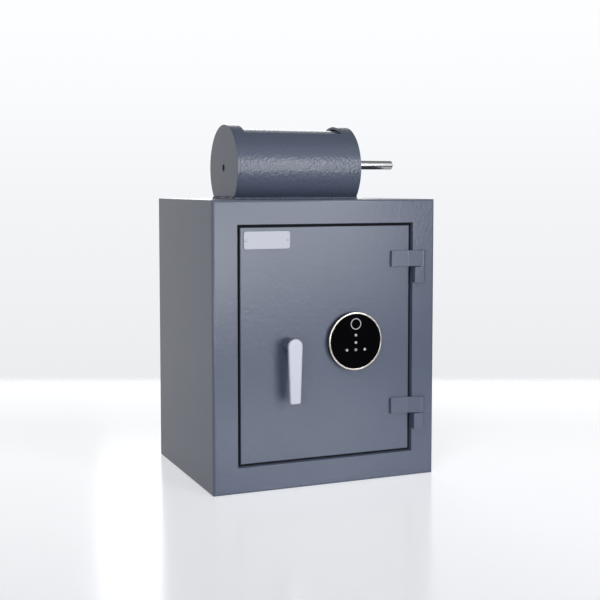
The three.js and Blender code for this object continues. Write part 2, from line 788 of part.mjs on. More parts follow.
const cam_pin_end = bolt_axis_depth + bar_thickness / 2 + cam_pin_past_bar;
const cam_past = [cam_front - overrun, cam_back + overrun];
add(handle, 'spindle_cam', 'zinc', round_bar('y', [0, 0], cam_radius, [cam_front, cam_back])
  .subtract(round_bar('y', [0, 0], spindle_radius + fit_gap, cam_past))
  .add(round_bar('y', cam_pin_place, cam_pin_radius, [cam_back, cam_pin_end])));

function spindle_bush() {
  const collar_back = door_back + bush_collar;
  return round_bar('y', [handle_x, 0], spindle_hole_radius - fit_gap, [door_face + fit_gap, door_back])
    .add(round_bar('y', [handle_x, 0], bush_collar_radius, [door_back, collar_back]))
    .subtract(round_bar('y', [handle_x, 0], spindle_radius + fit_gap, [door_face, collar_back + overrun]));
}
add(door, 'spindle_bush', 'nylon', spindle_bush());

// Bolt bar, moved sideways by the cam's pin and guided by two studs
const bar_range = [bolt_axis_depth - bar_thickness / 2, bolt_axis_depth + bar_thickness / 2];
const bar_past = [bar_range[0] - overrun, bar_range[1] + overrun];
const bar_half_height = bolt_height + bar_past_bolt;
const plunger_x = bar_right - bolt_throw + plunger_gap + plunger_radius;
const solenoid_left = plunger_x - solenoid_inset;
const stud_places = [stud_upper_height, -stud_lower_drop].map((z) => [bar_left + stud_inset, z]);

function slot(from, to, radius, range) {
  const ends = [from, to].map((place) => round_bar('y', place, radius, range));
  const along_x = from[1] === to[1];
  const low = along_x ? [from[0], from[1] - radius] : [from[0] - radius, from[1]];
  const high = along_x ? [to[0], to[1] + radius] : [to[0] + radius, to[1]];
  return block([low[0], high[0]], range, [low[1], high[1]]).add(ends[0]).add(ends[1]);
}

function bolt_bar() {
  const neck_right = solenoid_left - solenoid_gap;
  const outline = [
    [bar_left, -bar_half_height],
    [bar_right, -bar_half_height],
    [bar_right, bar_shoulder_height],
    [neck_right, bar_shoulder_height],
    [neck_right, bar_half_height],
    [bar_left, bar_half_height],
  ];
  const pin_slot = slot(
    [pin_x, -cam_pin_offset - bar_slot_gap], [pin_x, cam_pin_place[1] + bar_slot_gap],
    cam_pin_radius + bar_slot_gap, bar_past);
  let bar = prism('y', outline, bar_range).subtract(pin_slot);
  for (const [x, z] of stud_places) {
    const run = slot([x, z], [x + bolt_throw, z], stud_radius + bar_slot_gap, bar_past);
    bar = bar.subtract(run);
  }
  return bar;
}
add(door, 'bolt_bar', 'zinc', bolt_bar());

for (const [name, side] of [['upper', 1], ['lower', -1]]) {
  const centre = [bolt_axis_depth, side * bolt_height];
  add(door, `bolt_${name}`, 'steel', turned(centre, [
    [0, bolt_tip],
    [bolt_radius - bolt_chamfer, bolt_tip],
    [bolt_radius, bolt_tip + bolt_chamfer],
    [bolt_radius, bar_left],
    [0, bar_left],
  ]));
}

for (const [name, place] of [['upper', stud_places[0]], ['lower', stud_places[1]]]) {
  const end = bar_range[1] + bar_slot_gap;
  const shank = round_bar('y', place, stud_radius, [door_back, end]);
  add(door, `bar_stud_${name}`, 'zinc', shank.add(
    round_bar('y', place, stud_head_radius, [end, end + stud_head])));
}

// Guides that carry the bolts' tips, just inside the inner cover
const guide_left = cover_sheet + guide_cover_gap - cover_half_width;
function bolt_guide(height) {
  const z_range = [height - guide_half_height, height + guide_half_height];
  const plate_x_range = [guide_left, guide_left + guide_thickness];
  const foot_x_range = [guide_left, guide_left + guide_foot];
  const plate = block(plate_x_range, [door_back, door_back + guide_depth], z_range);
  const foot = block(foot_x_range, [door_back, door_back + guide_thickness], z_range);
  const past = [guide_left - overrun, guide_left + guide_thickness + overrun];
  return plate.add(foot)
    .subtract(round_bar('x', [bolt_axis_depth, height], bolt_radius + guide_bore_gap, past));
}
add(door, 'bolt_guide_upper', 'zinc', bolt_guide(bolt_height));
add(door, 'bolt_guide_lower', 'zinc', bolt_guide(-bolt_height));

// Fixed bar on the hinge side: its flange stands behind the right stop when the door is shut
function dead_bar() {
  const tip = stop_inner_x + dead_bar_overlap;
  const web = cover_half_width + dead_bar_gap;
  const flange_front = stop_depth + stop_thickness + dead_bar_setback;
  const outline = [
    [web, door_back],
    [web + dead_bar_web, door_back],
    [web + dead_bar_web, flange_front],
    [tip, flange_front],
    [tip, flange_front + dead_bar_flange],
    [web, flange_front + dead_bar_flange],
  ];
  return prism('z', outline, [-dead_bar_half_height, dead_bar_half_height]);
}
add(door, 'dead_bar', 'paint', dead_bar());

// Inner cover: a shallow sheet pan over the bolt work, screwed to four posts
const cover_past = [cover_inside - overrun, cover_back + overrun];
const battery_box_x = lock_x + battery_aside;
const battery_box_z = -battery_drop;
const tray_half_width = battery_width / 2 + fit_gap;
const tray_half_height = battery_length / 2 + fit_gap;
const button_place = [battery_box_x, battery_box_z + button_rise];
const button_bore = button_radius + fit_gap;

function inner_cover() {
  const x = cover_half_width - cover_sheet;
  const z = cover_half_height - cover_sheet;
  const outer = block(
    [-cover_half_width, cover_half_width], [door_back, cover_back], [-cover_half_height, cover_half_height]);
  const cuts = [
    block([-x, x], [door_back - overrun, cover_inside], [-z, z]),
    block(
      [battery_box_x - tray_half_width, battery_box_x + tray_half_width], cover_past,
      [battery_box_z - tray_half_height, battery_box_z + tray_half_height]),
    round_bar('y', button_place, button_bore, cover_past),
    ...post_places.map((place) => round_bar('y', place, screw_radius + fit_gap, cover_past, small_sides)),
  ];
  const past = [-cover_half_width - overrun, -x + overrun];
  for (const side of [-1, 1]) {
    const centre = [bolt_axis_depth, side * bolt_height];
    cuts.push(round_bar('x', centre, bolt_radius + cover_bolt_gap, past));
  }
  return cuts.reduce((cover, cut) => cover.subtract(cut), outer);
}
add(door, 'inner_cover', 'paint', inner_cover());

for (const [i, place] of post_places.entries()) {
  const shank_depth = [cover_inside - screw_depth + fit_gap, cover_back];
  const head_depth = [cover_back, cover_back + screw_head_height];
  const shank = round_bar('y', place, screw_radius, shank_depth, small_sides);
  const head = round_bar('y', place, screw_head_radius, head_depth, small_sides);
  add(door, `cover_screw_${i + 1}`, 'zinc', shank.add(head));
}

// Battery box behind a window in the cover, its block battery and its lid
function battery_box() {
  const width = tray_half_width + battery_rim;
  const height = tray_half_height + battery_rim;
  const floor = cover_inside - battery_depth - fit_gap - battery_box_wall;
  const outer = block(
    [battery_box_x - width, battery_box_x + width], [floor, cover_inside],
    [battery_box_z - height, battery_box_z + height]);
  return outer.subtract(block(
    [battery_box_x - tray_half_width, battery_box_x + tray_half_width],
    [floor + battery_box_wall, cover_inside + overrun],
    [battery_box_z - tray_half_height, battery_box_z + tray_half_height]));
}
add(door, 'battery_box', 'black', battery_box());

add(door, 'battery', 'battery', block(
  [battery_box_x - battery_width / 2, battery_box_x + battery_width / 2],
  [cover_inside - battery_depth, cover_inside],
  [battery_box_z - battery_length / 2, battery_box_z + battery_length / 2]));

function battery_lid() {
  const width = tray_half_width + battery_rim;
  const height = tray_half_height + battery_rim;
  return block(
    [battery_box_x - width, battery_box_x + width], [cover_back, cover_back + battery_lid_thickness],
    [battery_box_z - height, battery_box_z + height]);
}
add(door, 'battery_lid', 'black', battery_lid());

// Code button on the inside of the door, and the switch behind it
const button_front = cover_back + button_proud - button_length;
add(door, 'code_button', 'red', round_bar(
  'y', button_place, button_radius, [button_front, cover_back + button_proud]));

function button_switch() {
  const side = button_bore + switch_wall;
  const body = block(
    [button_place[0] - side, button_place[0] + side], [cover_inside - switch_depth, cover_inside],
    [button_place[1] - side, button_place[1] + side]);
  const floor = button_front - button_travel - fit_gap;
  return body.subtract(round_bar('y', button_place, button_bore, [floor, cover_inside + overrun]));
}
add(door, 'button_switch', 'black', button_switch());

// Solenoid beside the bar's neck. Its plunger drops behind the bar's shoulder when the bolts are out.
const plunger_low = bar_shoulder_height + plunger_gap;
const solenoid_low = plunger_low + plunger_length;

function solenoid() {
  const body = block(
    [solenoid_left, solenoid_left + solenoid_width], [door_back, door_back + solenoid_depth],
    [solenoid_low, solenoid_low + solenoid_height]);
  return body.subtract(round_bar(
    'z', [plunger_x, bolt_axis_depth], plunger_radius + fit_gap,
    [solenoid_low - overrun, solenoid_low + plunger_stroke + fit_gap]));
}
add(door, 'solenoid', 'zinc', solenoid());
add(door, 'solenoid_plunger', 'steel', round_bar(
  'z', [plunger_x, bolt_axis_depth], plunger_radius, [plunger_low, solenoid_low + plunger_stroke]));

// Control board in a moulded carrier behind the lock
const board_front = door_back + carrier_floor;

function board_carrier() {
  const x = board_width / 2 + fit_gap + carrier_wall;
  const z = board_height / 2 + fit_gap + carrier_wall;
  const outer = block(
    [lock_x - x, lock_x + x], [door_back, board_front + board_thickness], [-z, z]);
  const pocket = block(
    [lock_x - x + carrier_wall, lock_x + x - carrier_wall], [board_front, cover_inside],
    [carrier_wall - z, z - carrier_wall]);
  const lead_hole = round_bar('y', lock_centre, lead_hole_radius, [door_face, board_front + overrun]);
  return outer.subtract(pocket).subtract(lead_hole);
}
add(door, 'board_carrier', 'nylon', board_carrier());
add(door, 'control_board', 'board', block(
  [lock_x - board_width / 2, lock_x + board_width / 2], [board_front, board_front + board_thickness],
  [-board_height / 2, board_height / 2]));

door.add(handle);
safe.add(door);
safe.add(drum);

export default safe;
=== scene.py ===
# %% [markdown]
# A small drop safe, dressed for its portrait.
#
# The steel safe stands on a pale glossy floor. A drum that takes envelopes lies on its roof, and its
# door carries a round touch lock, a lever handle and two hinges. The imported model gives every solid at
# its real place. This lesson keeps those places and gives each solid the edge, the bead, the grain and
# the gloss that the real one has. Doubles nearer than MERGE become one vertex, and two places count as
# the same within TOLERANCE.

# %% Load the fixed frame
import json
import math

import bmesh
import bpy
from mathutils import Matrix, Vector

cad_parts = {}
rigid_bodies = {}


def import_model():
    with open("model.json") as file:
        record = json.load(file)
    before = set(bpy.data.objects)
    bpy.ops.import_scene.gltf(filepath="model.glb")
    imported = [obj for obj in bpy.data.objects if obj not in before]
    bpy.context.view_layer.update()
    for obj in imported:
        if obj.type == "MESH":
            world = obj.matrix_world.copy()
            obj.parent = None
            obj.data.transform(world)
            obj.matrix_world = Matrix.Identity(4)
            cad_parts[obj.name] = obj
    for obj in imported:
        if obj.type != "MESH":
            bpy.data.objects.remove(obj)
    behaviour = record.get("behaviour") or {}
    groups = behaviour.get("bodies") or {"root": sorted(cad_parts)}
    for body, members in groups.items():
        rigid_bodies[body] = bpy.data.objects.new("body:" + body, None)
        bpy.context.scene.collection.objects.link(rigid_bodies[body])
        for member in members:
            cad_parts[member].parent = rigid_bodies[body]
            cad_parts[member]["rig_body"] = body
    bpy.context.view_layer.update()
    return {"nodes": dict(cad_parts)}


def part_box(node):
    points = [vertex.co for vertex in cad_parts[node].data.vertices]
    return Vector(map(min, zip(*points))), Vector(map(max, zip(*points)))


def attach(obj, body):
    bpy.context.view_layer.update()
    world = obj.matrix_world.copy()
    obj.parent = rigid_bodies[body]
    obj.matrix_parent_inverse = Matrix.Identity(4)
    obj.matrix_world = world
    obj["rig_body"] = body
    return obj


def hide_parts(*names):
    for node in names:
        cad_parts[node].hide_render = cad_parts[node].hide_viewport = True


MM = 0.001
MERGE = 0.001 * MM
TOLERANCE = 0.01 * MM
SIDES = ((-1, "left"), (1, "right"))
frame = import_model()

# %% [markdown]
# The camera comes first, because it decides which edges are worth the most work. The photograph was
# taken from the left with a longish lens, at the height of the drum. A camera that points slightly
# down, with a little shift, gives the same nearly upright verticals.

# %% Camera
CAMERA_PLACE = Vector((-0.6246, -1.5277, 0.4177))
CAMERA_TURN = math.radians(22.66)
CAMERA_TILT = math.radians(4.0)

camera_data = bpy.data.cameras.new("camera")
camera_data.lens = 66.3
camera_data.sensor_width = 36
camera_data.shift_y = -0.06
camera = bpy.data.objects.new("camera", camera_data)
camera.location = CAMERA_PLACE
camera.rotation_euler = (math.pi / 2 - CAMERA_TILT, 0, -CAMERA_TURN)
bpy.context.scene.collection.objects.link(camera)
bpy.context.scene.camera = camera
print("camera", [round(c, 3) for c in camera.location])

# %% [markdown]
# Every finish here is a Principled shader with a little life in it. Three effects come back in many
# finishes, so each is a shader node group with named sockets, built once: the orange peel of powder
# coat, slow changes of tone, and the fine lines of brushed or turned metal.

# %% Helpers for shader node groups
def new_group(name, inputs, outputs):
    group = bpy.data.node_groups.new(name, "ShaderNodeTree")
    for socket, kind, default in inputs:
        made = group.interface.new_socket(socket, in_out="INPUT", socket_type="NodeSocket" + kind)
        if default is not None:
            made.default_value = default
    for socket, kind in outputs:
        group.interface.new_socket(socket, in_out="OUTPUT", socket_type="NodeSocket" + kind)
    return group, group.nodes.new("NodeGroupInput"), group.nodes.new("NodeGroupOutput")


def math_node(tree, operation, first, second):
    node = tree.nodes.new("ShaderNodeMath")
    node.operation = operation
    for socket, value in zip(node.inputs, (first, second)):
        if isinstance(value, (int, float)):
            socket.default_value = value
        else:
            tree.links.new(value, socket)
    return node.outputs[0]


def noise_node(tree, vector, scale, detail, roughness=0.5):
    node = tree.nodes.new("ShaderNodeTexNoise")
    node.inputs["Detail"].default_value = detail
    node.inputs["Roughness"].default_value = roughness
    tree.links.new(vector, node.inputs["Vector"])
    if isinstance(scale, (int, float)):
        node.inputs["Scale"].default_value = scale
    else:
        tree.links.new(scale, node.inputs["Scale"])
    return node.outputs["Fac"]


# %% Group: orange peel of powder coat, and its painted glints
WAVES_PER_PIMPLE = 0.45
GRAINS_PER_PIMPLE = 2.3
PAINTED_GLINT_STARTS = 0.62
PAINTED_GLINT_FULL = 0.8


def orange_peel():
    group, start, end = new_group(
        "orange peel",
        [("Vector", "Vector", None), ("Pimples per metre", "Float", 230.0)],
        [("Height", "Float"), ("Painted glint", "Float")],
    )
    size = start.outputs["Pimples per metre"]
    pimples = group.nodes.new("ShaderNodeTexVoronoi")
    pimples.feature = "SMOOTH_F1"
    pimples.inputs["Smoothness"].default_value = 0.8
    group.links.new(start.outputs["Vector"], pimples.inputs["Vector"])
    group.links.new(size, pimples.inputs["Scale"])
    waves_scale = math_node(group, "MULTIPLY", size, WAVES_PER_PIMPLE)
    waves = noise_node(group, start.outputs["Vector"], waves_scale, 3.0)
    grit_scale = math_node(group, "MULTIPLY", size, GRAINS_PER_PIMPLE)
    grit = noise_node(group, start.outputs["Vector"], grit_scale, 2.0)
    rounded = math_node(group, "MULTIPLY", pimples.outputs["Distance"], -0.6)
    height = math_node(group, "ADD", rounded, waves)
    height = math_node(group, "ADD", height, math_node(group, "MULTIPLY", grit, 0.06))
    group.links.new(height, end.inputs["Height"])
    # The highest grains of the grit become the painted glint: bright dots in the colour that stand in for
    # pimples catching the light.
    bright = group.nodes.new("ShaderNodeMapRange")
    bright.inputs["From Min"].default_value = PAINTED_GLINT_STARTS
    bright.inputs["From Max"].default_value = PAINTED_GLINT_FULL
    group.links.new(grit, bright.inputs["Value"])
    group.links.new(bright.outputs["Result"], end.inputs["Painted glint"])
    return group


PEEL = orange_peel()
print("group", PEEL.name)


# %% Group: slow changes of tone, plus the painted glints
PAINTED_GLINT_LIFT = 0.12


def tone_drift():
    group, start, end = new_group(
        "tone drift",
        [
            ("Vector", "Vector", None),
            ("Colour", "Color", (0.5, 0.5, 0.5, 1.0)),
            ("Patches per metre", "Float", 9.0),
            ("Amount", "Float", 0.06),
            ("Painted glint", "Float", 0.0),
        ],
        [("Colour", "Color")],
    )
    patches = noise_node(group, start.outputs["Vector"], start.outputs["Patches per metre"], 4.0, 0.6)
    middle = math_node(group, "SUBTRACT", patches, 0.5)
    swing = math_node(group, "MULTIPLY", middle, math_node(group, "MULTIPLY", start.outputs["Amount"], 2.0))
    # Painted glints lighten the colour by up to PAINTED_GLINT_LIFT.
    glint_lift = math_node(group, "MULTIPLY", start.outputs["Painted glint"], PAINTED_GLINT_LIFT)
    swing = math_node(group, "ADD", swing, glint_lift)
    level = math_node(group, "ADD", swing, 1.0)
    scaled = group.nodes.new("ShaderNodeVectorMath")
    scaled.operation = "SCALE"
    group.links.new(start.outputs["Colour"], scaled.inputs[0])
    group.links.new(level, scaled.inputs["Scale"])
    group.links.new(scaled.outputs["Vector"], end.inputs["Colour"])
    return group


DRIFT = tone_drift()
print("group", DRIFT.name)


# %% Group: fine lines of brushed or turned metal
def fine_lines():
    group, start, end = new_group(
        "fine lines",
        [
            ("Vector", "Vector", None),
            ("Stretch", "Vector", (1.0, 1.0, 1.0)),
            ("Lines per metre", "Float", 2500.0),
            ("Roughness", "Float", 0.3),
            ("Spread", "Float", 0.1),
        ],
        [("Height", "Float"), ("Roughness", "Float")],
    )
    drawn = group.nodes.new("ShaderNodeVectorMath")
    drawn.operation = "MULTIPLY"
    group.links.new(start.outputs["Vector"], drawn.inputs[0])
    group.links.new(start.outputs["Stretch"], drawn.inputs[1])
    lines = noise_node(group, drawn.outputs["Vector"], start.outputs["Lines per metre"], 3.0, 0.6)
    swing = math_node(group, "MULTIPLY", math_node(group, "SUBTRACT", lines, 0.5), start.outputs["Spread"])
    group.links.new(math_node(group, "ADD", start.outputs["Roughness"], swing), end.inputs["Roughness"])
    group.links.new(lines, end.inputs["Height"])
    return group


LINES = fine_lines()
print("group", LINES.name)


# %% [markdown]
# A finish starts as a material with one Principled shader and one Object coordinate node. Object
# coordinates are metres on the real object, so a grain keeps its size on every piece and runs on from
# one welded sheet to the next. Plain numbers go straight on the shader's own sockets.

# %% Helpers for finishes
def new_finish(name, colour, roughness, metallic=0.0, **uniform):
    material = bpy.data.materials.new(name)
    material.use_nodes = True
    material.diffuse_color = (*colour, 1.0)
    shader = material.node_tree.nodes["Principled BSDF"]
    shader.inputs["Base Color"].default_value = (*colour, 1.0)
    shader.inputs["Roughness"].default_value = roughness
    shader.inputs["Metallic"].default_value = metallic
    for socket, value in uniform.items():
        shader.inputs[socket.replace("_", " ")].default_value = value
    place = material.node_tree.nodes.new("ShaderNodeTexCoord")
    return material, material.node_tree, shader, place.outputs["Object"]


def use_group(tree, group, vector, **values):
    node = tree.nodes.new("ShaderNodeGroup")
    node.node_tree = group
    tree.links.new(vector, node.inputs["Vector"])
    for socket, value in values.items():
        node.inputs[socket.replace("_", " ")].default_value = value
    return node


def add_bump(tree, shader, height, depth):
    bump = tree.nodes.new("ShaderNodeBump")
    bump.inputs["Strength"].default_value = 1.0
    bump.inputs["Distance"].default_value = depth
    tree.links.new(height, bump.inputs["Height"])
    tree.links.new(bump.outputs["Normal"], shader.inputs["Normal"])


# %% [markdown]
# Powder coat is plastic dust that was melted onto the sheet. It never levels out fully, so it keeps
# pimples a few millimetres apart with a soft gloss on top. A bump from the orange peel group carries
# them, and the tone drift keeps large panels from looking like one flat fill. In the photograph the
# light that runs along the housing shows as a speckle, so the housing has a coat with closer and deeper
# pimples. The peel's grit also lightens the colour in small dots: painted glints, which stand in for
# the pimples that catch that light.

# %% Powder coat
def powder_coat(name, colour, depth=0.12 * MM, roughness=0.27, amount=0.05, pimples=230.0):
    material, tree, shader, place = new_finish(name, colour, roughness, Specular_IOR_Level=0.55)
    peel = use_group(tree, PEEL, place, Pimples_per_metre=pimples)
    drift = use_group(tree, DRIFT, place, Colour=(*colour, 1.0), Amount=amount)
    tree.links.new(peel.outputs["Painted glint"], drift.inputs["Painted glint"])
    tree.links.new(drift.outputs["Colour"], shader.inputs["Base Color"])
    add_bump(tree, shader, peel.outputs["Height"], depth)
    return material


BLUE_GREY = (0.118, 0.142, 0.203)
paint = powder_coat("blue grey powder coat", BLUE_GREY)
tube_paint = powder_coat("coarse powder coat of the housing", BLUE_GREY, depth=0.38 * MM, pimples=360.0)
drum_paint = powder_coat("drum powder coat", (0.235, 0.255, 0.31), depth=0.04 * MM)
print("powder coats", [m.name for m in (paint, tube_paint, drum_paint)])


# %% [markdown]
# Metals differ by how they were worked. The rod is turned and polished, so its lines run round it. The
# lever is plated with satin nickel. Zinc plating is duller, with cloudy patches. The plate is brushed
# along its length. One function makes them all, from the stretch of their lines. Lever and plate look
# milky in the photograph, as under a thin lacquer, so they are only partly metallic.

# %% Worked metals
def worked_metal(
        name, colour, roughness, stretch, depth, lines=2500.0, spread=0.1, drift=0.03, metallic=1.0):
    material, tree, shader, place = new_finish(name, colour, roughness, metallic)
    drawn = use_group(
        tree, LINES, place,
        Stretch=stretch, Lines_per_metre=lines, Roughness=roughness, Spread=spread)
    cloudy = use_group(tree, DRIFT, place, Colour=(*colour, 1.0), Patches_per_metre=70.0, Amount=drift)
    tree.links.new(cloudy.outputs["Colour"], shader.inputs["Base Color"])
    tree.links.new(drawn.outputs["Roughness"], shader.inputs["Roughness"])
    add_bump(tree, shader, drawn.outputs["Height"], depth)
    return material


polished = worked_metal("turned stainless", (0.55, 0.545, 0.55), 0.16, (1.0, 0.06, 0.06), 0.004 * MM)
bolt_steel = worked_metal("ground bolt steel", (0.6, 0.6, 0.6), 0.22, (1.0, 0.08, 0.08), 0.006 * MM)
pin_steel = worked_metal("drawn pin steel", (0.56, 0.56, 0.56), 0.25, (1.0, 1.0, 0.05), 0.005 * MM)
zinc = worked_metal("zinc plate", (0.5, 0.51, 0.5), 0.38, (1.0, 1.0, 1.0), 0.01 * MM, 900.0, 0.25, 0.18)
nickel = worked_metal("satin nickel", (0.66, 0.68, 0.755), 0.45, (1.0, 1.0, 0.08), 0.004 * MM, metallic=0.2)
brushed = worked_metal(
    "brushed aluminium", (0.575, 0.59, 0.645), 0.5, (0.03, 1.0, 1.0), 0.006 * MM, 3500.0, metallic=0.2)
champagne = worked_metal("polished champagne ring", (0.74, 0.69, 0.61), 0.2, (0.3, 1.0, 0.3), 0.003 * MM)
print("metals", [m.name for m in (polished, bolt_steel, pin_steel, zinc, nickel, brushed, champagne)])


# %% [markdown]
# The lock's face is one disc of black touch glass. It is almost a mirror, so it needs a faint haze of
# fingertips in its roughness to look real. Its marks are printed in pale grey. Moulded plastic has a
# fine spark-eroded grain instead.

# %% Glass and plastics
def touch_glass():
    colour = (0.003, 0.003, 0.004)
    material, tree, shader, place = new_finish(
        "black touch glass", colour, 0.06, Specular_IOR_Level=0.02)
    haze = use_group(tree, LINES, place, Lines_per_metre=55.0, Roughness=0.09, Spread=0.12)
    tree.links.new(haze.outputs["Roughness"], shader.inputs["Roughness"])
    return material


def moulded_plastic(name, colour, roughness, grains=1600.0, depth=0.03 * MM):
    material, tree, shader, place = new_finish(name, colour, roughness)
    grain = use_group(tree, PEEL, place, Pimples_per_metre=grains)
    drift = use_group(tree, DRIFT, place, Colour=(*colour, 1.0), Amount=0.08)
    tree.links.new(drift.outputs["Colour"], shader.inputs["Base Color"])
    add_bump(tree, shader, grain.outputs["Height"], depth)
    return material


glass = touch_glass()
black = moulded_plastic("black moulded plastic", (0.012, 0.012, 0.013), 0.45)
red = moulded_plastic("red moulded plastic", (0.45, 0.02, 0.015), 0.35, depth=0.01 * MM)
nylon = moulded_plastic("natural nylon", (0.72, 0.69, 0.6), 0.5, depth=0.015 * MM)
print_grey = moulded_plastic("pale grey print", (0.62, 0.62, 0.62), 0.5, depth=0.005 * MM)
# Black for the strip at the bottom of the door's gap: painted shade.
gap_shade_black = moulded_plastic("black painted gap shade", (0.004, 0.004, 0.005), 0.9, grains=900.0, depth=0.1 * MM)
print("plastics", [m.name for m in (black, red, nylon, print_grey, gap_shade_black)])


# %% [markdown]
# Three finishes are only seen with the door open or the lid off: the felt mat, whose fibres lie every
# way, the green circuit board, and the wrapped battery. Felt is rough with a little sheen, made by
# noise at two scales.

# %% Felt, board and battery
def felt():
    colour = (0.05, 0.054, 0.06)
    material, tree, shader, place = new_finish("needle felt", colour, 0.95, Sheen_Weight=0.25)
    fibres = use_group(tree, LINES, place, Stretch=(1.0, 0.35, 1.0), Lines_per_metre=1800.0)
    drift = use_group(
        tree, DRIFT, place, Colour=(*colour, 1.0), Patches_per_metre=420.0, Amount=0.35)
    tree.links.new(drift.outputs["Colour"], shader.inputs["Base Color"])
    add_bump(tree, shader, fibres.outputs["Height"], 0.5 * MM)
    return material


mat_felt = felt()
board_green = moulded_plastic("green circuit board", (0.01, 0.1, 0.035), 0.35, grains=500.0, depth=0.02 * MM)
battery_wrap = moulded_plastic("dark battery wrap", (0.03, 0.035, 0.05), 0.3, depth=0.004 * MM)
print("hidden finishes", mat_felt.name, board_green.name, battery_wrap.name)


# %% [markdown]
# New pieces are bmesh shapes. When a shape is finished it becomes an object at the origin that rides on
# its body. Faces are smooth, creases over 35 degrees are kept, and a Weighted Normal modifier lets the
# large flat faces win, so that a small rounded edge doesn't tint the whole panel beside it.

# %% From a bmesh to a piece
def finish_piece(name, shape, body, material, stands_for=(), sharp=35):
    bmesh.ops.recalc_face_normals(shape, faces=shape.faces)
    mesh = bpy.data.meshes.new(name)
    shape.to_mesh(mesh)
    shape.free()
    mesh.polygons.foreach_set("use_smooth", [True] * len(mesh.polygons))
    mesh.set_sharp_from_angle(angle=math.radians(sharp))
    mesh.materials.append(material)
    piece = bpy.data.objects.new(name, mesh)
    bpy.context.scene.collection.objects.link(piece)
    even = piece.modifiers.new("even normals", "WEIGHTED_NORMAL")
    even.keep_sharp = True
    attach(piece, body)
    if stands_for:
        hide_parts(*stands_for)
    return piece


def round_edges(shape, edges, width, steps=3):
    bmesh.ops.bevel(
        shape, geom=edges, offset=width, offset_type="OFFSET", segments=steps,
        profile=0.5, affect="EDGES", material=-1, clamp_overlap=True)


def creases(shape, degrees=30):
    return [e for e in shape.edges if e.is_manifold and e.calc_face_angle() > math.radians(degrees)]


def extrude(shape, faces, away):
    """Extrudes faces and moves the new ones away. Gives all that was made, and the new vertices."""
    made = bmesh.ops.extrude_face_region(shape, geom=faces)["geom"]
    verts = [g for g in made if isinstance(g, bmesh.types.BMVert)]
    bmesh.ops.translate(shape, verts=verts, vec=away)
    return made, verts


def slab(outline, away):
    """A flat outline that was given its thickness."""
    shape = bmesh.new()
    face = shape.faces.new([shape.verts.new(point) for point in outline])
    extrude(shape, [face], away)
    return shape


def cuboid(middle, size, turn=0.0):
    """A box, turned about the y axis."""
    shape = bmesh.new()
    turned = Matrix.Translation(middle) @ Matrix.Rotation(turn, 4, "Y")
    bmesh.ops.create_cube(shape, size=1, matrix=turned @ Matrix.Diagonal((*size, 1)))
    return shape


# %% [markdown]
# Folded and sawn pieces already have their true outline in the frame. A copy of such a node is merged,
# its flat triangles are dissolved, and its sharp edges are rounded by a few tenths of a millimetre, as
# a deburred edge is under paint. That small round catches a line of light that a perfectly sharp edge
# never has.

# %% A deburred copy of a node
def merged_copy(node):
    shape = bmesh.new()
    shape.from_mesh(frame["nodes"][node].data)
    bmesh.ops.remove_doubles(shape, verts=shape.verts, dist=MERGE)
    bmesh.ops.dissolve_limit(
        shape, angle_limit=math.radians(0.5), verts=shape.verts, edges=shape.edges,
        use_dissolve_boundaries=False)
    return shape


def body_of_node(node):
    return frame["nodes"][node]["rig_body"]


def deburr(node, material, width=0.4 * MM, steps=2, degrees=30):
    shape = merged_copy(node)
    round_edges(shape, creases(shape, degrees), width, steps)
    return finish_piece(node + "_deburred", shape, body_of_node(node), material, [node])


# %% [markdown]
# The box is welded from sheets and ground flush, so its seams don't show. Only the outer edges are
# round. An edge belongs to the outside if it lies on two of the box's outer planes at once.

# %% The welded box
body_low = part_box("front_frame")[0]
body_high = Vector((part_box("front_frame")[1].x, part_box("back_plate")[1].y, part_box("front_frame")[1].z))


def on_box_edge(edge):
    middle = (edge.verts[0].co + edge.verts[1].co) / 2
    planes = [(0, body_low.x), (0, body_high.x), (1, body_high.y), (2, body_low.z), (2, body_high.z)]
    return sum(abs(middle[axis] - at) < TOLERANCE for axis, at in planes) >= 2


BOX_EDGE = 1.3 * MM
for node in ("front_frame", "side_panel_left", "side_panel_right", "bottom_plate", "back_plate", "top_plate"):
    sheet = merged_copy(node)
    round_edges(sheet, [e for e in sheet.edges if on_box_edge(e)], BOX_EDGE)
    finish_piece(node + "_welded", sheet, "root", paint, [node])
print("box edges rounded by", BOX_EDGE / MM, "mm")

# %% [markdown]
# Inside the doorway a ring is welded behind the frame's lip. It is a deburred copy too.

# %% Stop ring
deburr("stop_ring", paint, 0.4 * MM)

# %% [markdown]
# Round pieces are lathe work. A profile of a few vertices is spun about its axis, with many more steps
# than the frame's flats, and its doubles are merged. The profile gives radius and place along the axis.

# %% A lathe
LATHE_STEPS = 96
AXES = {"x": Vector((1, 0, 0)), "y": Vector((0, 1, 0)), "z": Vector((0, 0, 1))}
OUT = {"x": Vector((0, 0, 1)), "y": Vector((0, 0, 1)), "z": Vector((1, 0, 0))}


def lathe(axis, centre, profile, closed=False, steps=LATHE_STEPS):
    shape = bmesh.new()
    along, out = AXES[axis], OUT[axis]
    verts = [shape.verts.new(centre + out * radius + along * place) for radius, place in profile]
    pairs = list(zip(verts, verts[1:])) + ([(verts[-1], verts[0])] if closed else [])
    edges = [shape.edges.new(pair) for pair in pairs]
    bmesh.ops.spin(
        shape, geom=verts + edges, cent=centre, axis=along, dvec=(0, 0, 0),
        angle=2 * math.pi, steps=steps, use_merge=True, use_duplicate=False)
    bmesh.ops.remove_doubles(shape, verts=shape.verts, dist=MERGE)
    return shape


def arc(centre, radius, start, end, steps=6):
    """Points of a round stretch of a profile, angles in degrees."""
    turn = [math.radians(start + (end - start) * i / steps) for i in range(steps + 1)]
    return [(centre[0] + radius * math.cos(a), centre[1] + radius * math.sin(a)) for a in turn]


def box_centre(node):
    low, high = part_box(node)
    return (low + high) / 2


# %% [markdown]
# The housing is a tube with a window in its top. Its outer skin is spun in three bands, the faces of the
# middle band that lie over the window are deleted, and Solidify as a bmesh operator gives the wall,
# rims of the window included. A bisect plane cuts the foot flat where it stands on the roof.

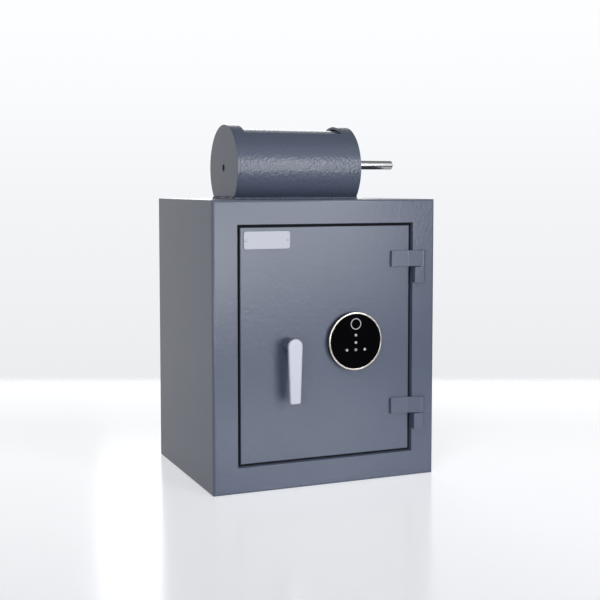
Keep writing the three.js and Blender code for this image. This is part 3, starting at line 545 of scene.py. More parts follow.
# %% Drum housing
HOUSING_STEPS = 180
WINDOW_HALF_ANGLE = 36
WINDOW_RING = 20 * MM
WINDOW_SOFT = 0.6 * MM
HOUSING_WALL = 4 * MM
SEAM = 0.5 * MM
housing_low, housing_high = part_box("drum_housing")
end_low, end_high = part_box("housing_end_left")
housing_radius = (housing_high.y - housing_low.y) / 2
housing_axis = Vector((0, (housing_low.y + housing_high.y) / 2, housing_high.z - housing_radius))
housing_half = -end_low.x
end_thickness = end_high.x - end_low.x
roof = housing_low.z


def angle_from_top(point):
    away = point - housing_axis
    return math.degrees(math.atan2(away.y, away.z))


def stand_on_roof(shape):
    """Cuts a shape off at the roof and closes the cut."""
    everything = shape.verts[:] + shape.edges[:] + shape.faces[:]
    cut = bmesh.ops.bisect_plane(
        shape, geom=everything, plane_co=(0, 0, roof), plane_no=(0, 0, 1), clear_inner=True, dist=MERGE)
    rim = [g for g in cut["geom_cut"] if isinstance(g, bmesh.types.BMEdge)]
    bmesh.ops.holes_fill(shape, edges=rim, sides=0)


def give_wall(skin, thickness):
    """Turns a skin's faces away from the axis and gives it a wall on its inner side."""
    bmesh.ops.recalc_face_normals(skin, faces=skin.faces)
    first = next(iter(skin.faces))
    if first.normal.dot(first.calc_center_median() - housing_axis) < 0:
        bmesh.ops.reverse_faces(skin, faces=skin.faces)
    bmesh.ops.solidify(skin, geom=skin.verts[:] + skin.edges[:] + skin.faces[:], thickness=thickness)


def on_rim(edge):
    return all((v.co - housing_axis).yz.length > housing_radius - 0.1 * MM for v in edge.verts)


def drum_housing():
    reach = housing_half - end_thickness
    window = housing_half - WINDOW_RING
    skin = lathe("x", housing_axis, [(housing_radius, x) for x in (-reach, -window, window, reach)],
                 steps=HOUSING_STEPS)
    gone = []
    for face in skin.faces:
        middle = face.calc_center_median()
        if abs(middle.x) < window and abs(angle_from_top(middle)) < WINDOW_HALF_ANGLE:
            gone.append(face)
    bmesh.ops.delete(skin, geom=gone, context="FACES")
    give_wall(skin, HOUSING_WALL)
    stand_on_roof(skin)
    window_rims = [e for e in creases(skin, 60) if min(v.co.z for v in e.verts) > roof + HOUSING_WALL
                   and max(abs(v.co.x) for v in e.verts) < reach - MM]
    round_edges(skin, window_rims, WINDOW_SOFT)
    joint = [e for e in creases(skin, 60) if on_rim(e)
             and all(abs(abs(v.co.x) - reach) < TOLERANCE for v in e.verts)]
    round_edges(skin, joint, SEAM, 2)
    return skin


housing = finish_piece("drum_housing_tube", drum_housing(), "root", tube_paint, ["drum_housing"])
print("housing radius", round(housing_radius / MM, 1), "mm,", len(housing.data.polygons), "faces")

# %% [markdown]
# Each end of the housing is a disc of plate with a hole for the drum's pivot. The right one also has
# the long curved slot in which the grip rod travels. Cutting is the natural way to make both, so a
# helper cuts one bmesh out of another with an exact Boolean modifier and reads the result back.

# %% A cutting helper
def cut_away(shape, cutter):
    temporary = []
    for name, source in (("blank", shape), ("cutter", cutter)):
        bmesh.ops.recalc_face_normals(source, faces=source.faces)
        mesh = bpy.data.meshes.new(name)
        source.to_mesh(mesh)
        source.free()
        obj = bpy.data.objects.new(name, mesh)
        bpy.context.scene.collection.objects.link(obj)
        temporary.append(obj)
    blank, tool = temporary
    cut = blank.modifiers.new("cut", "BOOLEAN")
    cut.operation = "DIFFERENCE"
    cut.solver = "EXACT"
    cut.object = tool
    result = bmesh.new()
    result.from_object(blank, bpy.context.evaluated_depsgraph_get())
    for obj in temporary:
        mesh = obj.data
        bpy.data.objects.remove(obj)
        bpy.data.meshes.remove(mesh)
    bmesh.ops.remove_doubles(result, verts=result.verts, dist=MERGE)
    return result


def bar(axis, centre, radius, low, high, steps=LATHE_STEPS):
    return lathe(axis, centre, [(0, low), (radius, low), (radius, high), (0, high)], steps=steps)


# %% [markdown]
# The rod's slot is cut in three goes: a band that is swept half a turn over the top, and then the two
# round ends. Each cutter is closed and has no faces inside it, because an exact Boolean can lose the
# whole plate over a bad cutter. The round ends are a hair wider than the band, so that no two faces of
# the cutters fall together. The printed volumes show at once if a cut has gone wrong.

# %% Housing ends
PIVOT_HOLE = 5.5 * MM
ROD_SLOT_GAP = 1 * MM
PAST = 2 * MM
TRACK_OVERLAP = 0.02 * MM
TRACK_END_STEPS = 50
TRACK_BAND_STEPS = 90
rod_low, rod_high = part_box("grip_rod")
rod_radius = (rod_high.z - rod_low.z) / 2
rod_axis = Vector((0, (rod_low.y + rod_high.y) / 2, (rod_low.z + rod_high.z) / 2))
rod_away = rod_axis - housing_axis


def track_end(low, high, turn):
    """The round end of the rod's track, after a turn about the drum's axis."""
    shape = bmesh.new()
    start = Matrix.Translation((low, rod_axis.y, rod_axis.z)) @ Matrix.Rotation(math.pi / 2, 4, "Y")
    bmesh.ops.create_circle(
        shape, cap_ends=True, segments=TRACK_END_STEPS,
        radius=rod_radius + ROD_SLOT_GAP + TRACK_OVERLAP, matrix=start)
    extrude(shape, shape.faces[:], (high - low, 0, 0))
    bmesh.ops.rotate(shape, verts=shape.verts, cent=housing_axis, matrix=Matrix.Rotation(turn, 4, "X"))
    return shape


def track_band(low, high):
    """The curved middle of the track: its four edges swept half a turn, over the top, and closed."""
    reach = rod_away.length
    gap = rod_radius + ROD_SLOT_GAP
    shape = bmesh.new()
    direction = rod_away.normalized()
    corners = [(reach - gap, low), (reach + gap, low), (reach + gap, high), (reach - gap, high)]
    verts = [shape.verts.new(housing_axis + direction * r + Vector((x, 0, 0))) for r, x in corners]
    edges = [shape.edges.new((verts[i - 1], verts[i])) for i in range(4)]
    bmesh.ops.spin(
        shape, geom=verts + edges, cent=housing_axis, axis=(-1, 0, 0), dvec=(0, 0, 0),
        angle=math.pi, steps=TRACK_BAND_STEPS, use_merge=False, use_duplicate=False)
    bmesh.ops.holes_fill(shape, edges=shape.edges[:])
    return shape


def housing_end(side):
    low, high = sorted((side * (housing_half - end_thickness), side * housing_half))
    disc = bar("x", housing_axis, housing_radius, low, high, HOUSING_STEPS)
    stand_on_roof(disc)
    disc = cut_away(disc, bar("x", housing_axis, PIVOT_HOLE, low - PAST, high + PAST))
    if side > 0:
        disc = cut_away(disc, track_band(low - PAST, high + PAST))
        for turn in (0.0, math.pi):
            disc = cut_away(disc, track_end(low - PAST, high + PAST, turn))
    rims = [e for e in creases(disc, 60) if on_rim(e)
            and abs(e.verts[0].co.x - e.verts[1].co.x) < TOLERANCE]
    bores = [e for e in creases(disc, 60) if e not in rims and min(v.co.z for v in e.verts) > roof + MM
             and all(abs(v.co.x - side * housing_half) < TOLERANCE for v in e.verts)]
    round_edges(disc, rims + bores, SEAM)
    return disc


for side, name in SIDES:
    plate = housing_end(side)
    volume = plate.calc_volume() * 1e6
    finish_piece(f"housing_end_{name}_plate", plate, "root", paint, [f"housing_end_{name}"])
    print(name, "end plate", round(volume, 1), "cm3")
print("rod track radius", round(rod_away.length / MM, 1), "mm")

# %% [markdown]
# A bead of weld runs along the foot of the housing, where it stands on the roof. In the photograph it
# is the dotted bright line under the tube. Welds are made in overlapping drops, so the bead is a small
# round section extruded in many short steps, each step a little thicker or thinner than the last. The
# first face stays as one end, and the open far end is filled.

# %% Weld beads at the foot
BEAD_RADIUS = 3.2 * MM
BEAD_STEP = 1.2 * MM
BEAD_END = 0.6
BEAD_INSET = 0.3 * MM


def drop_size(i):
    """A repeatable uneven rhythm around 1, as a hand-laid bead has."""
    return 1 + 0.1 * math.sin(i * 1.35) + 0.07 * math.sin(i * 2.9 + 1.0) + 0.04 * math.sin(i * 5.1)


def weld_bead(start, end):
    run = end - start
    count = round(run.length / BEAD_STEP)
    shape = bmesh.new()
    turn = run.to_track_quat("Z", "Y").to_matrix().to_4x4()
    bmesh.ops.create_circle(
        shape, cap_ends=True, segments=12, radius=BEAD_RADIUS * BEAD_END,
        matrix=Matrix.Translation(start) @ turn)
    face = next(iter(shape.faces))
    size = BEAD_END
    for i in range(1, count + 1):
        made, verts = extrude(shape, [face], run / count)
        bmesh.ops.delete(shape, geom=[face], context="FACES_ONLY")
        face = next(g for g in made if isinstance(g, bmesh.types.BMFace))
        following = BEAD_END if i == count else drop_size(i)
        centre = start + run * i / count
        bmesh.ops.scale(
            shape, verts=verts, vec=[following / size] * 3, space=Matrix.Translation(-centre))
        size = following
    bmesh.ops.holes_fill(shape, edges=shape.edges[:])
    return shape


foot_half = math.sqrt(housing_radius ** 2 - (housing_axis.z - roof) ** 2)
bead_height = roof + BEAD_INSET
for side, name in ((-1, "front"), (1, "back")):
    y = housing_axis.y + side * (foot_half + BEAD_INSET)
    bead = weld_bead(Vector((-housing_half, y, bead_height)), Vector((housing_half, y, bead_height)))
    finish_piece(f"weld_bead_{name}", bead, "root", paint)
for side, name in SIDES:
    x = side * (housing_half + BEAD_INSET)
    low = Vector((x, housing_axis.y - foot_half, bead_height))
    high = Vector((x, housing_axis.y + foot_half, bead_height))
    finish_piece(f"weld_bead_{name}", weld_bead(low, high), "root", paint)
print("weld beads along", round(2 * foot_half / MM), "and", round(2 * housing_half / MM), "mm")

# %% [markdown]
# The drum inside is a shell that covers 254 degrees between two discs. It is made as the housing was:
# an arc of skin, then Solidify. The discs get their hubs from the lathe.

# %% The drum
SHELL_HALF_ARC = 127
SHELL_WALL = 3 * MM
DRUM_STEPS = 128
drum_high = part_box("drum_shell")[1]
drum_radius = drum_high.z - housing_axis.z
shell_half = drum_high.x


def drum_shell():
    shape = bmesh.new()
    start = Matrix.Rotation(math.radians(SHELL_HALF_ARC), 4, "X") @ Vector((0, 0, drum_radius, 1))
    ends = [shape.verts.new(housing_axis + Vector((x, start.y, start.z))) for x in (-shell_half, shell_half)]
    edge = shape.edges.new(ends)
    bmesh.ops.spin(
        shape, geom=ends + [edge], cent=housing_axis, axis=(-1, 0, 0), dvec=(0, 0, 0),
        angle=math.radians(2 * SHELL_HALF_ARC), steps=DRUM_STEPS, use_merge=False, use_duplicate=False)
    give_wall(shape, SHELL_WALL)
    round_edges(shape, creases(shape, 60), 0.4 * MM, 2)
    return shape


def drum_disc(side, name):
    low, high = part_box(f"drum_disc_{name}")
    inner, outer = (shell_half, high.x) if side > 0 else (-shell_half, low.x)
    face = inner + side * 4 * MM
    hub = 13 * MM
    bore = 5.3 * MM
    soft = 0.5 * MM
    profile = [
        (bore, inner), (drum_radius - soft, inner), (drum_radius, inner + side * soft),
        (drum_radius, face - side * soft), (drum_radius - soft, face), (hub, face),
        (hub, outer - side * soft), (hub - soft, outer), (bore, outer),
    ]
    disc = lathe("x", housing_axis, profile, closed=True, steps=DRUM_STEPS)
    if side > 0:
        disc = cut_away(disc, bar("x", rod_axis, rod_radius + 0.3 * MM, inner - PAST, outer + PAST))
    return disc


finish_piece("drum_shell_rolled", drum_shell(), "drum", drum_paint, ["drum_shell"])
for side, name in SIDES:
    finish_piece(f"drum_disc_{name}_turned", drum_disc(side, name), "drum", drum_paint,
                 [f"drum_disc_{name}"])
print("drum radius", round(drum_radius / MM, 1), "mm")

# %% [markdown]
# The grip rod is the piece that hands polish every day. Its free end has a chamfer whose edges are
# rounded, and a lathe profile says that best. Its collar, the pivots and the nylon washers are lathe
# work too.

# %% Rod, collar, pivots and washers
def rounded_step(radius, place, soft, direction):
    """The round corner of a bar's end that faces along direction, +1 or -1."""
    centre = (radius - soft, place - direction * soft)
    return arc(centre, soft, 0, 90 * direction)


def grip_rod():
    chamfer = 1.5 * MM
    tip = rod_high.x
    profile = [(0, rod_low.x), (rod_radius, rod_low.x), (rod_radius, tip - 1.6 * chamfer)]
    profile += arc((rod_radius - chamfer, tip - chamfer), chamfer, 5, 85, 8)
    profile += [(rod_radius - chamfer, tip), (0, tip)]
    return lathe("x", rod_axis, profile)


def ring(axis, node, bore, soft=0.3 * MM):
    low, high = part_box(node)
    middle = (low + high) / 2
    index = "xyz".index(axis)
    other = (index + 1) % 3
    radius = (high[other] - low[other]) / 2
    start, end = low[index], high[index]
    middle[index] = 0
    profile = [(bore, start), *rounded_step(radius, start, soft, -1)[::-1],
               *rounded_step(radius, end, soft, 1), (bore, end)]
    return lathe(axis, middle, profile, closed=True)


finish_piece("grip_rod_polished", grip_rod(), "drum", polished, ["grip_rod"])
finish_piece("rod_collar_turned", ring("x", "rod_collar", rod_radius + 0.1 * MM), "drum", zinc,
             ["rod_collar"])
for side, name in SIDES:
    washer = f"axle_bush_{name}"
    finish_piece(washer + "_washer", ring("x", washer, PIVOT_HOLE), "root", nylon, [washer])
print("rod tip at x", round(rod_high.x / MM, 1), "mm")

# %% [markdown]
# The drum turns on two shouldered screws that are seen end on in the plates' holes. The photograph shows
# only a small dark spot with a light edge there, the shade in the hole. So the screw is a guess: black,
# with a hexagonal socket that a plug of black plastic closes just below its rim. The black of screw and
# plug is partly a blackened screw and partly painted shade for that dark spot.

# %% Drum pivots
SOCKET_RADIUS = 4.2 * MM
SOCKET_DEPTH = 6 * MM
CAP_SETBACK = 1 * MM
CAP_THICKNESS = 1.5 * MM


def drum_pivot(side, name):
    """A shouldered screw: a head inside the drum, a shank through the end plate, and a hex socket."""
    low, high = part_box(f"drum_pivot_{name}")
    head_radius = (high.y - low.y) / 2
    inner, outer = (low.x, high.x) if side > 0 else (high.x, low.x)
    shank = 5 * MM
    head = 4 * MM
    soft = 0.5 * MM
    step = inner + side * head
    profile = [
        (0, inner), (head_radius - soft, inner), (head_radius, inner + side * soft), (head_radius, step),
        (shank, step), (shank, outer - side * soft), (shank - soft, outer), (0, outer),
    ]
    screw = lathe("x", housing_axis, profile)
    ends = sorted((outer - side * SOCKET_DEPTH, outer + side * PAST))
    return cut_away(screw, bar("x", housing_axis, SOCKET_RADIUS, *ends, steps=6))


def pivot_shade_plug(side, name):
    """A black plug pressed into the screw's socket; its black is painted shade for the dark spot in the hole.
    """
    low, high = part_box(f"drum_pivot_{name}")
    front = (high.x if side > 0 else low.x) - side * CAP_SETBACK
    return bar("x", housing_axis, SOCKET_RADIUS, *sorted((front, front - side * CAP_THICKNESS)), steps=6)


# Screw and plug are black: partly a blackened screw, partly painted shade for the dark spot in the hole.
for side, name in SIDES:
    finish_piece(f"pivot_shade_plug_{name}", pivot_shade_plug(side, name), "drum", black)
    finish_piece(f"drum_pivot_{name}_screw", drum_pivot(side, name), "drum", black,
                 [f"drum_pivot_{name}"])
print("pivot screws at", [round(c / MM, 1) for c in housing_axis])

# %% [markdown]
# A hinge is two sawn lengths of steel bar. The arm lies flat on the door, then slopes out over the gap
# and wraps the pin; the block under it is welded to the frame. In the photograph the crease between
# flat and slope is a sharp change of tone, and the knuckle is round. So their outlines are drawn again
# with a fine arc, extruded upwards, and only creases over 15 degrees are deburred. Both get a real
# bore, because the arm turns about the pin and the pin stands in the block. Their shading keeps every
# crease over 9 degrees.

# %% Hinges
KNUCKLE = 4.7 * MM
CREASE_INSET = 3.1 * MM
STEP_INSET = 1.1 * MM
LEAF = 4.5 * MM
DEBURR = 0.45 * MM
PIN_PLAY = 0.3 * MM
PIN_IN_ARM = 18.3 * MM
PIN_IN_BLOCK = 18 * MM
BORE_STEPS = 48
frame_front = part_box("front_frame")[0].y
door_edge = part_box("door_plate")[1].x
door_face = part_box("lock_body")[1].y
pin_radius = (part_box("hinge_pin_upper")[1].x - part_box("hinge_pin_upper")[0].x) / 2


def upright_bar(outline, low, high):
    """An outline seen from above, extruded upwards, with its creases rounded."""
    shape = slab([(x, y, low) for x, y in outline], (0, 0, high - low))
    round_edges(shape, creases(shape, 15), DEBURR, 2)
    return shape


def arm_outline(pin, end):
    crease = Vector((door_edge - CREASE_INSET, door_face - LEAF))
    away = Vector((pin.x, pin.y)) - crease
    slope = math.degrees(math.atan2(-away.y, away.x) + math.asin(KNUCKLE / away.length))
    return [(end, door_face), (end, crease.y), tuple(crease),
            *arc((pin.x, pin.y), KNUCKLE, -90 - slope, 90, 40),
            (door_edge - STEP_INSET, pin.y + KNUCKLE), (door_edge - STEP_INSET, door_face)]


def block_outline(pin, start):
    return [(start, frame_front), (start, pin.y - KNUCKLE), *arc((pin.x, pin.y), KNUCKLE, -90, 0, 20),
            (pin.x + KNUCKLE, frame_front)]


for level in ("upper", "lower"):
    pin = box_centre(f"hinge_pin_{level}")
    pin_axis = Vector((pin.x, pin.y, 0))
    low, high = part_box(f"hinge_arm_{level}")
    arm = upright_bar(arm_outline(pin, low.x), low.z, high.z)
    bore = bar("z", pin_axis, pin_radius + PIN_PLAY, low.z - PAST, low.z + PIN_IN_ARM, BORE_STEPS)
    finish_piece(f"hinge_arm_{level}_sawn", cut_away(arm, bore), "door", paint,
                 [f"hinge_arm_{level}"], 9)
    low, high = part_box(f"hinge_block_{level}")
    block = upright_bar(block_outline(pin, low.x), low.z, high.z)
    bore = bar("z", pin_axis, pin_radius + PIN_PLAY, high.z - PIN_IN_BLOCK, high.z + PAST, BORE_STEPS)
    finish_piece(f"hinge_block_{level}_sawn", cut_away(block, bore), "root", paint,
                 [f"hinge_block_{level}"], 9)
print("hinge axis at", round(pin.x / MM, 1), round(pin.y / MM, 1))

# %% [markdown]
# A thin black strip lies on the stop ring, at the bottom of the gap round the door. It is painted shade:
# its black is why that gap reads nearly black.

# %% Painted shade strip behind the door's edge
STRIP_OUT = (3.8 * MM, 3.0 * MM)
STRIP_IN = (-3.5 * MM, -3.5 * MM)
STRIP_THICKNESS = 0.75 * MM


def door_frame_strip(node, inside, outside, back, thickness):
    """A flat ring round the outline of a node, seen from the front."""
    low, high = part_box(node)
    cubes = []
    for (beside, above), depth in ((outside, thickness), (inside, 3 * thickness)):
        size = (high.x - low.x + 2 * beside, depth, high.z - low.z + 2 * above)
        middle = ((low.x + high.x) / 2, back - thickness / 2, (low.z + high.z) / 2)
        cubes.append(cuboid(middle, size))
    return cut_away(*cubes)


strip_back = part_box("stop_ring")[0].y
finish_piece("gap_shade_strip", door_frame_strip("door_plate", STRIP_IN, STRIP_OUT, strip_back, STRIP_THICKNESS),
             "root", gap_shade_black)
print("painted shade strip at y", round(strip_back / MM, 2))

# %% [markdown]
# The door plate, the bar that hooks behind the frame and the inner cover are deburred copies. The door's
# front edges were rounded in the frame, so only their shading needs care.

# %% Door plate, dead bar and inner cover
deburr("door_plate", paint, 0.25 * MM, 2, 60)
deburr("dead_bar", paint, 0.5 * MM)
deburr("inner_cover", paint, 0.5 * MM, 3, 60)
print("door face at y", round(door_face / MM, 1), "mm")

# %% [markdown]
# The lock is three turned pieces: a plastic body with a slight taper, a polished ring with a round
# crown, and the glass with a softly ground edge. The marks on the glass stand a hair proud of it, as a
# print does under a fingertip: a circle for the finger and five plain dots below it, one with a hole.

# %% The round lock
def lathe_y(node, points, material, body="door", closed=True):
    """Lathe work on the door: points are (radius, depth from the node's front)."""
    centre = box_centre(node)
    centre.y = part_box(node)[0].y
    finish_piece(node + "_turned", lathe("y", centre, points, closed=closed), body, material, [node])


lock_low, lock_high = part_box("lock_body")
lock_centre = (lock_low + lock_high) / 2
body_radius = (lock_high.x - lock_low.x) / 2
body_depth = lock_high.y - lock_low.y
lathe_y("lock_body", [
    (0, 0), (body_radius - 0.5 * MM, 0), (body_radius, 0.5 * MM), (body_radius, body_depth - 1.2 * MM),
    (body_radius - 0.6 * MM, body_depth - 0.8 * MM), (body_radius - 0.6 * MM, body_depth), (0, body_depth),
], black, closed=False)

rim_low, rim_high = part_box("lock_rim")
rim_radius = (rim_high.x - rim_low.x) / 2
rim_depth = rim_high.y - rim_low.y
rim_width = 2.5 * MM
crown = 0.9 * MM
rim_profile = [(rim_radius - rim_width, rim_depth), (rim_radius - rim_width, crown / 2)]
rim_profile += arc((rim_radius - rim_width + crown / 2, crown / 2), crown / 2, 180, 270, 4)
rim_profile += arc((rim_radius - crown, crown), crown, 270, 360, 6)
rim_profile += [(rim_radius, rim_depth)]
lathe_y("lock_rim", rim_profile, champagne)
print("lock centre", [round(c / MM, 2) for c in lock_centre], "radius", round(rim_radius / MM, 1))

# %% Glass and its marks
PRINT_HEIGHT = 0.25 * MM
PRINT_SOFT = 0.12 * MM
glass_low, glass_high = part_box("lock_glass")
glass_radius = (glass_high.x - glass_low.x) / 2
glass_depth = glass_high.y - glass_low.y
ground = 0.6 * MM
glass_points = [(0, PRINT_HEIGHT), (glass_radius - ground, PRINT_HEIGHT)]
glass_points += arc((glass_radius - ground, PRINT_HEIGHT + ground), ground, 270, 360, 5)
glass_points += [(glass_radius, glass_depth), (0, glass_depth)]
lathe_y("lock_glass", glass_points, glass, closed=False)

FINGER_RING = {"up": 24.5 * MM, "radius": 8 * MM, "line": 1.25 * MM}
MARK_RADIUS = 1.9 * MM
MARK_HOLE = 0.9 * MM
MARKS = {"a": (0, 8.75), "b": (0, -1.75), "c": (-13.75, -12.0), "d": (0, -12.0), "e": (13.75, -12.0)}
print_back = glass_low.y + PRINT_HEIGHT + 0.1 * MM


def print_ring(centre, radius, bore):
    front = glass_low.y
    profile = [(radius - PRINT_SOFT, front), (radius, front + PRINT_SOFT), (radius, print_back)]
    if bore:
        profile = [(bore, print_back), (bore, front + PRINT_SOFT), (bore + PRINT_SOFT, front)] + profile
    else:
        profile = [(0, front)] + profile + [(0, print_back)]
    return lathe("y", centre, profile, closed=bore > 0, steps=64)


def on_lock(right, up):
    return Vector((lock_centre.x + right, 0, lock_centre.z + up))


finger_bore = FINGER_RING["radius"] - FINGER_RING["line"]
finger = print_ring(on_lock(0, FINGER_RING["up"]), FINGER_RING["radius"], finger_bore)
finish_piece("finger_circle", finger, "door", print_grey)
for letter, (right, up) in MARKS.items():
    hole = MARK_HOLE if letter == "d" else 0
    mark = print_ring(on_lock(right * MM, up * MM), MARK_RADIUS, hole)
    finish_piece(f"touch_mark_{letter}", mark, "door", print_grey)
print("marks", len(MARKS) + 1)

# %% [markdown]
# The lever is a flat bar with a round head that narrows to its free end. Its outline has one arc and
# two small corner arcs; a face is made from it, extruded to its thickness, and both rims are bevelled
# wide enough to catch the bright line that the photograph shows all round it.

# %% Lever and boss
lever_low, lever_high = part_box("handle_lever")
spindle_axis = box_centre("handle_boss")
LEVER_BOTTOM = 15.8 * MM
LEVER_CORNER = 2.5 * MM
LEVER_BEVEL = 2.0 * MM
LEVER_BACK_BEVEL = 0.8 * MM
spindle_plane = (lever_low.y + lever_high.y) / 2


def handle_lever():
    top = (lever_high.x - lever_low.x) / 2
    drop = spindle_axis.z - lever_low.z
    half = LEVER_BOTTOM / 2
    outline = arc((0, 0), top, 0, 180, 32)
    outline += arc((LEVER_CORNER - half, LEVER_CORNER - drop), LEVER_CORNER, 180, 270)
    outline += arc((half - LEVER_CORNER, LEVER_CORNER - drop), LEVER_CORNER, 270, 360)
    shape = slab([(spindle_axis.x + x, lever_high.y, spindle_axis.z + z) for x, z in outline],
                 (0, lever_low.y - lever_high.y, 0))
    face_rim = [e for e in creases(shape, 60) if all(v.co.y < spindle_plane for v in e.verts)]
    round_edges(shape, face_rim, LEVER_BEVEL, 5)
    round_edges(shape, creases(shape, 60), LEVER_BACK_BEVEL, 2)
    return shape


finish_piece("handle_lever_plated", handle_lever(), "handle", nickel, ["handle_lever"])
boss_low, boss_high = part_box("handle_boss")
boss_radius = (boss_high.x - boss_low.x) / 2
boss_depth = boss_high.y - boss_low.y
lathe_y("handle_boss", [
    (0, 0), (boss_radius - 0.4 * MM, 0), (boss_radius, 0.4 * MM), (boss_radius, boss_depth), (0, boss_depth),
], paint, "handle", closed=False)
print("lever", round((lever_high.z - lever_low.z) / MM, 1), "mm long")

# %% [markdown]
# The plate at the door's upper left is bare brushed aluminium with rounded corners. Two closed rivets
# hold it, and their heads are domed. Plate and rivets are one solid in the frame, so the new plate
# stands for it, and each rivet is a piece beside it.

# %% Bare plate and rivets
plate_low, plate_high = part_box("bare_plate")
PLATE_THICKNESS = 1.25 * MM
PLATE_CORNER = 3 * MM
RIVET_SPACING = 60 * MM
RIVET_RADIUS = 1.75 * MM
RIVET_SHANK = 1.0 * MM
RIVET_SUNK = 0.2 * MM
plate_middle = (plate_low + plate_high) / 2


def bare_plate():
    width = (plate_high.x - plate_low.x) / 2 - PLATE_CORNER
    height = (plate_high.z - plate_low.z) / 2 - PLATE_CORNER
    corners = [(width, height), (-width, height), (-width, -height), (width, -height)]
    outline = []
    for i, corner in enumerate(corners):
        outline += arc(corner, PLATE_CORNER, 90 * i, 90 * (i + 1))
    shape = slab([(plate_middle.x + x, door_face, plate_middle.z + z) for x, z in outline],
                 (0, -PLATE_THICKNESS, 0))
    rim = [e for e in creases(shape, 60) if all(v.co.y < door_face - PLATE_THICKNESS / 2 for v in e.verts)]
    round_edges(shape, rim, 0.3 * MM)
    return shape


finish_piece("plate_brushed", bare_plate(), "door", brushed, ["bare_plate"])
seat = door_face - PLATE_THICKNESS
head = seat - plate_low.y
for side, name in SIDES:
    place = Vector((plate_middle.x + side * RIVET_SPACING / 2, 0, plate_middle.z))
    dome = [(0, plate_low.y)] + [(RIVET_RADIUS * math.sin(a), seat - head * math.cos(a))
                                 for a in (0.4, 0.8, 1.2, math.pi / 2)]
    dome += [(RIVET_SHANK, seat + RIVET_SUNK), (0, seat + RIVET_SUNK)]
    finish_piece(f"plate_rivet_{name}", lathe("y", place, dome, steps=32), "door", zinc)
print("plate", round((plate_high.x - plate_low.x) / MM), "x", round((plate_high.z - plate_low.z) / MM), "mm")

# %% [markdown]
# Behind the door are the pieces that nobody sees in the portrait, but that show as soon as it opens: the
# bolts with their chamfered tips, the cover's screws, the battery lid with its grip ribs, and the red
# button.

# %% Bolts and pins
for level in ("upper", "lower"):
    low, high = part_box(f"bolt_{level}")
    centre = box_centre(f"bolt_{level}")
    centre.x = 0
    radius = (high.z - low.z) / 2
    tip = 1.5 * MM
    profile = [(0, low.x), (radius - tip - 0.3 * MM, low.x), (radius - tip, low.x + 0.15 * MM),
               (radius - 0.15 * MM, low.x + tip), (radius, low.x + tip + 0.4 * MM),
               (radius, high.x), (0, high.x)]
    finish_piece(f"bolt_{level}_ground", lathe("x", centre, profile), "bolt_work", bolt_steel,
                 [f"bolt_{level}"])
    low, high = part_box(f"hinge_pin_{level}")
    centre = box_centre(f"hinge_pin_{level}")
    centre.z = 0
    drawn = bar("z", centre, (high.x - low.x) / 2, low.z, high.z, BORE_STEPS)
    finish_piece(f"hinge_pin_{level}_drawn", drawn, "root", pin_steel, [f"hinge_pin_{level}"])
print("bolt radius", round(radius / MM, 1))

# %% Cover screws
CROSS_WIDTH = 0.9 * MM
CROSS_CUT = 2.2 * MM
CROSS_TURN = 0.4
SCREW_SHANK = 2 * MM
cover_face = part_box("battery_lid")[0].y


def cover_screw(node):
    """A pan-head screw with a cross slot, its head on the cover."""
    low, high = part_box(node)
    centre = (low + high) / 2
    centre.y = 0
    radius = (high.x - low.x) / 2
    height = high.y - cover_face
    dome = [(radius * math.cos(a), cover_face + height * (0.35 + 0.65 * math.sin(a)))
            for a in (0, 0.4, 0.8, 1.2)]
    shape = lathe("y", centre, [(0, low.y), (SCREW_SHANK, low.y), (SCREW_SHANK, cover_face),
                                (radius, cover_face), *dome, (0, high.y)], steps=BORE_STEPS)
    for turn in (0, math.pi / 2):
        cross = (CROSS_WIDTH, CROSS_CUT, radius * 1.1)
        shape = cut_away(shape, cuboid((centre.x, high.y, centre.z), cross, turn + CROSS_TURN))
    return shape


for i in range(1, 5):
    node = f"cover_screw_{i}"
    finish_piece(node + "_cross", cover_screw(node), "door", zinc, [node])
print("cover face at y", round(cover_face / MM, 1))


# %% Battery lid
def rounded_block(low, high, width, steps=3):
    shape = cuboid((low + high) / 2, high - low)
    round_edges(shape, shape.edges[:], width, steps)
    return shape


RIBS = 5
RIB_HEIGHT = 0.6 * MM
RIB_HALF_LENGTH = 9 * MM
FIRST_RIB = 7
RIB_SPACING = 2.4
lid_low, lid_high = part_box("battery_lid")
plain = Vector((0, RIB_HEIGHT, 0))
finish_piece("battery_lid_moulded", rounded_block(lid_low, lid_high - plain, 0.5 * MM), "door", black,
             ["battery_lid"])
for i in range(RIBS):
    x = (lid_low.x + lid_high.x) / 2
    z = lid_low.z + (FIRST_RIB + RIB_SPACING * i) * MM
    low = Vector((x - RIB_HALF_LENGTH, lid_high.y - 2 * RIB_HEIGHT, z - RIB_HEIGHT))
    high = Vector((x + RIB_HALF_LENGTH, lid_high.y, z + RIB_HEIGHT))
    rib = rounded_block(low, high, 0.45 * MM)
    finish_piece(f"battery_lid_rib_{i + 1}", rib, "door", black)
print("lid", [round(c / MM, 1) for c in lid_high - lid_low])

# %% The other small pieces behind the door
button_low, button_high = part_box("code_button")
button_radius = (button_high.x - button_low.x) / 2
button_centre = box_centre("code_button")
button_centre.y = 0
soft = 0.7 * MM
button = lathe("y", button_centre, [(0, button_low.y), (button_radius, button_low.y),
                                    *arc((button_radius - soft, button_high.y - soft), soft, 0, 90),
                                    (0, button_high.y)])
finish_piece("code_button_cap", button, "code_button", red, ["code_button"])
for node, material, slot in (
    ("bolt_bar", zinc, "zinc"),
    ("spindle_cam", zinc, "zinc"),
    ("bolt_guide_upper", zinc, "zinc"),
    ("bolt_guide_lower", zinc, "zinc"),
    ("bar_stud_upper", zinc, "zinc"),
    ("bar_stud_lower", zinc, "zinc"),
    ("solenoid", zinc, "zinc"),
    ("board_carrier", nylon, "nylon"),
    ("battery_box", black, "black_plastic"),
    ("button_switch", black, "black_plastic"),
    ("battery", battery_wrap, "battery"),
    ("control_board", board_green, "board"),
):
    deburr(node, material, 0.2 * MM, 2, 40)

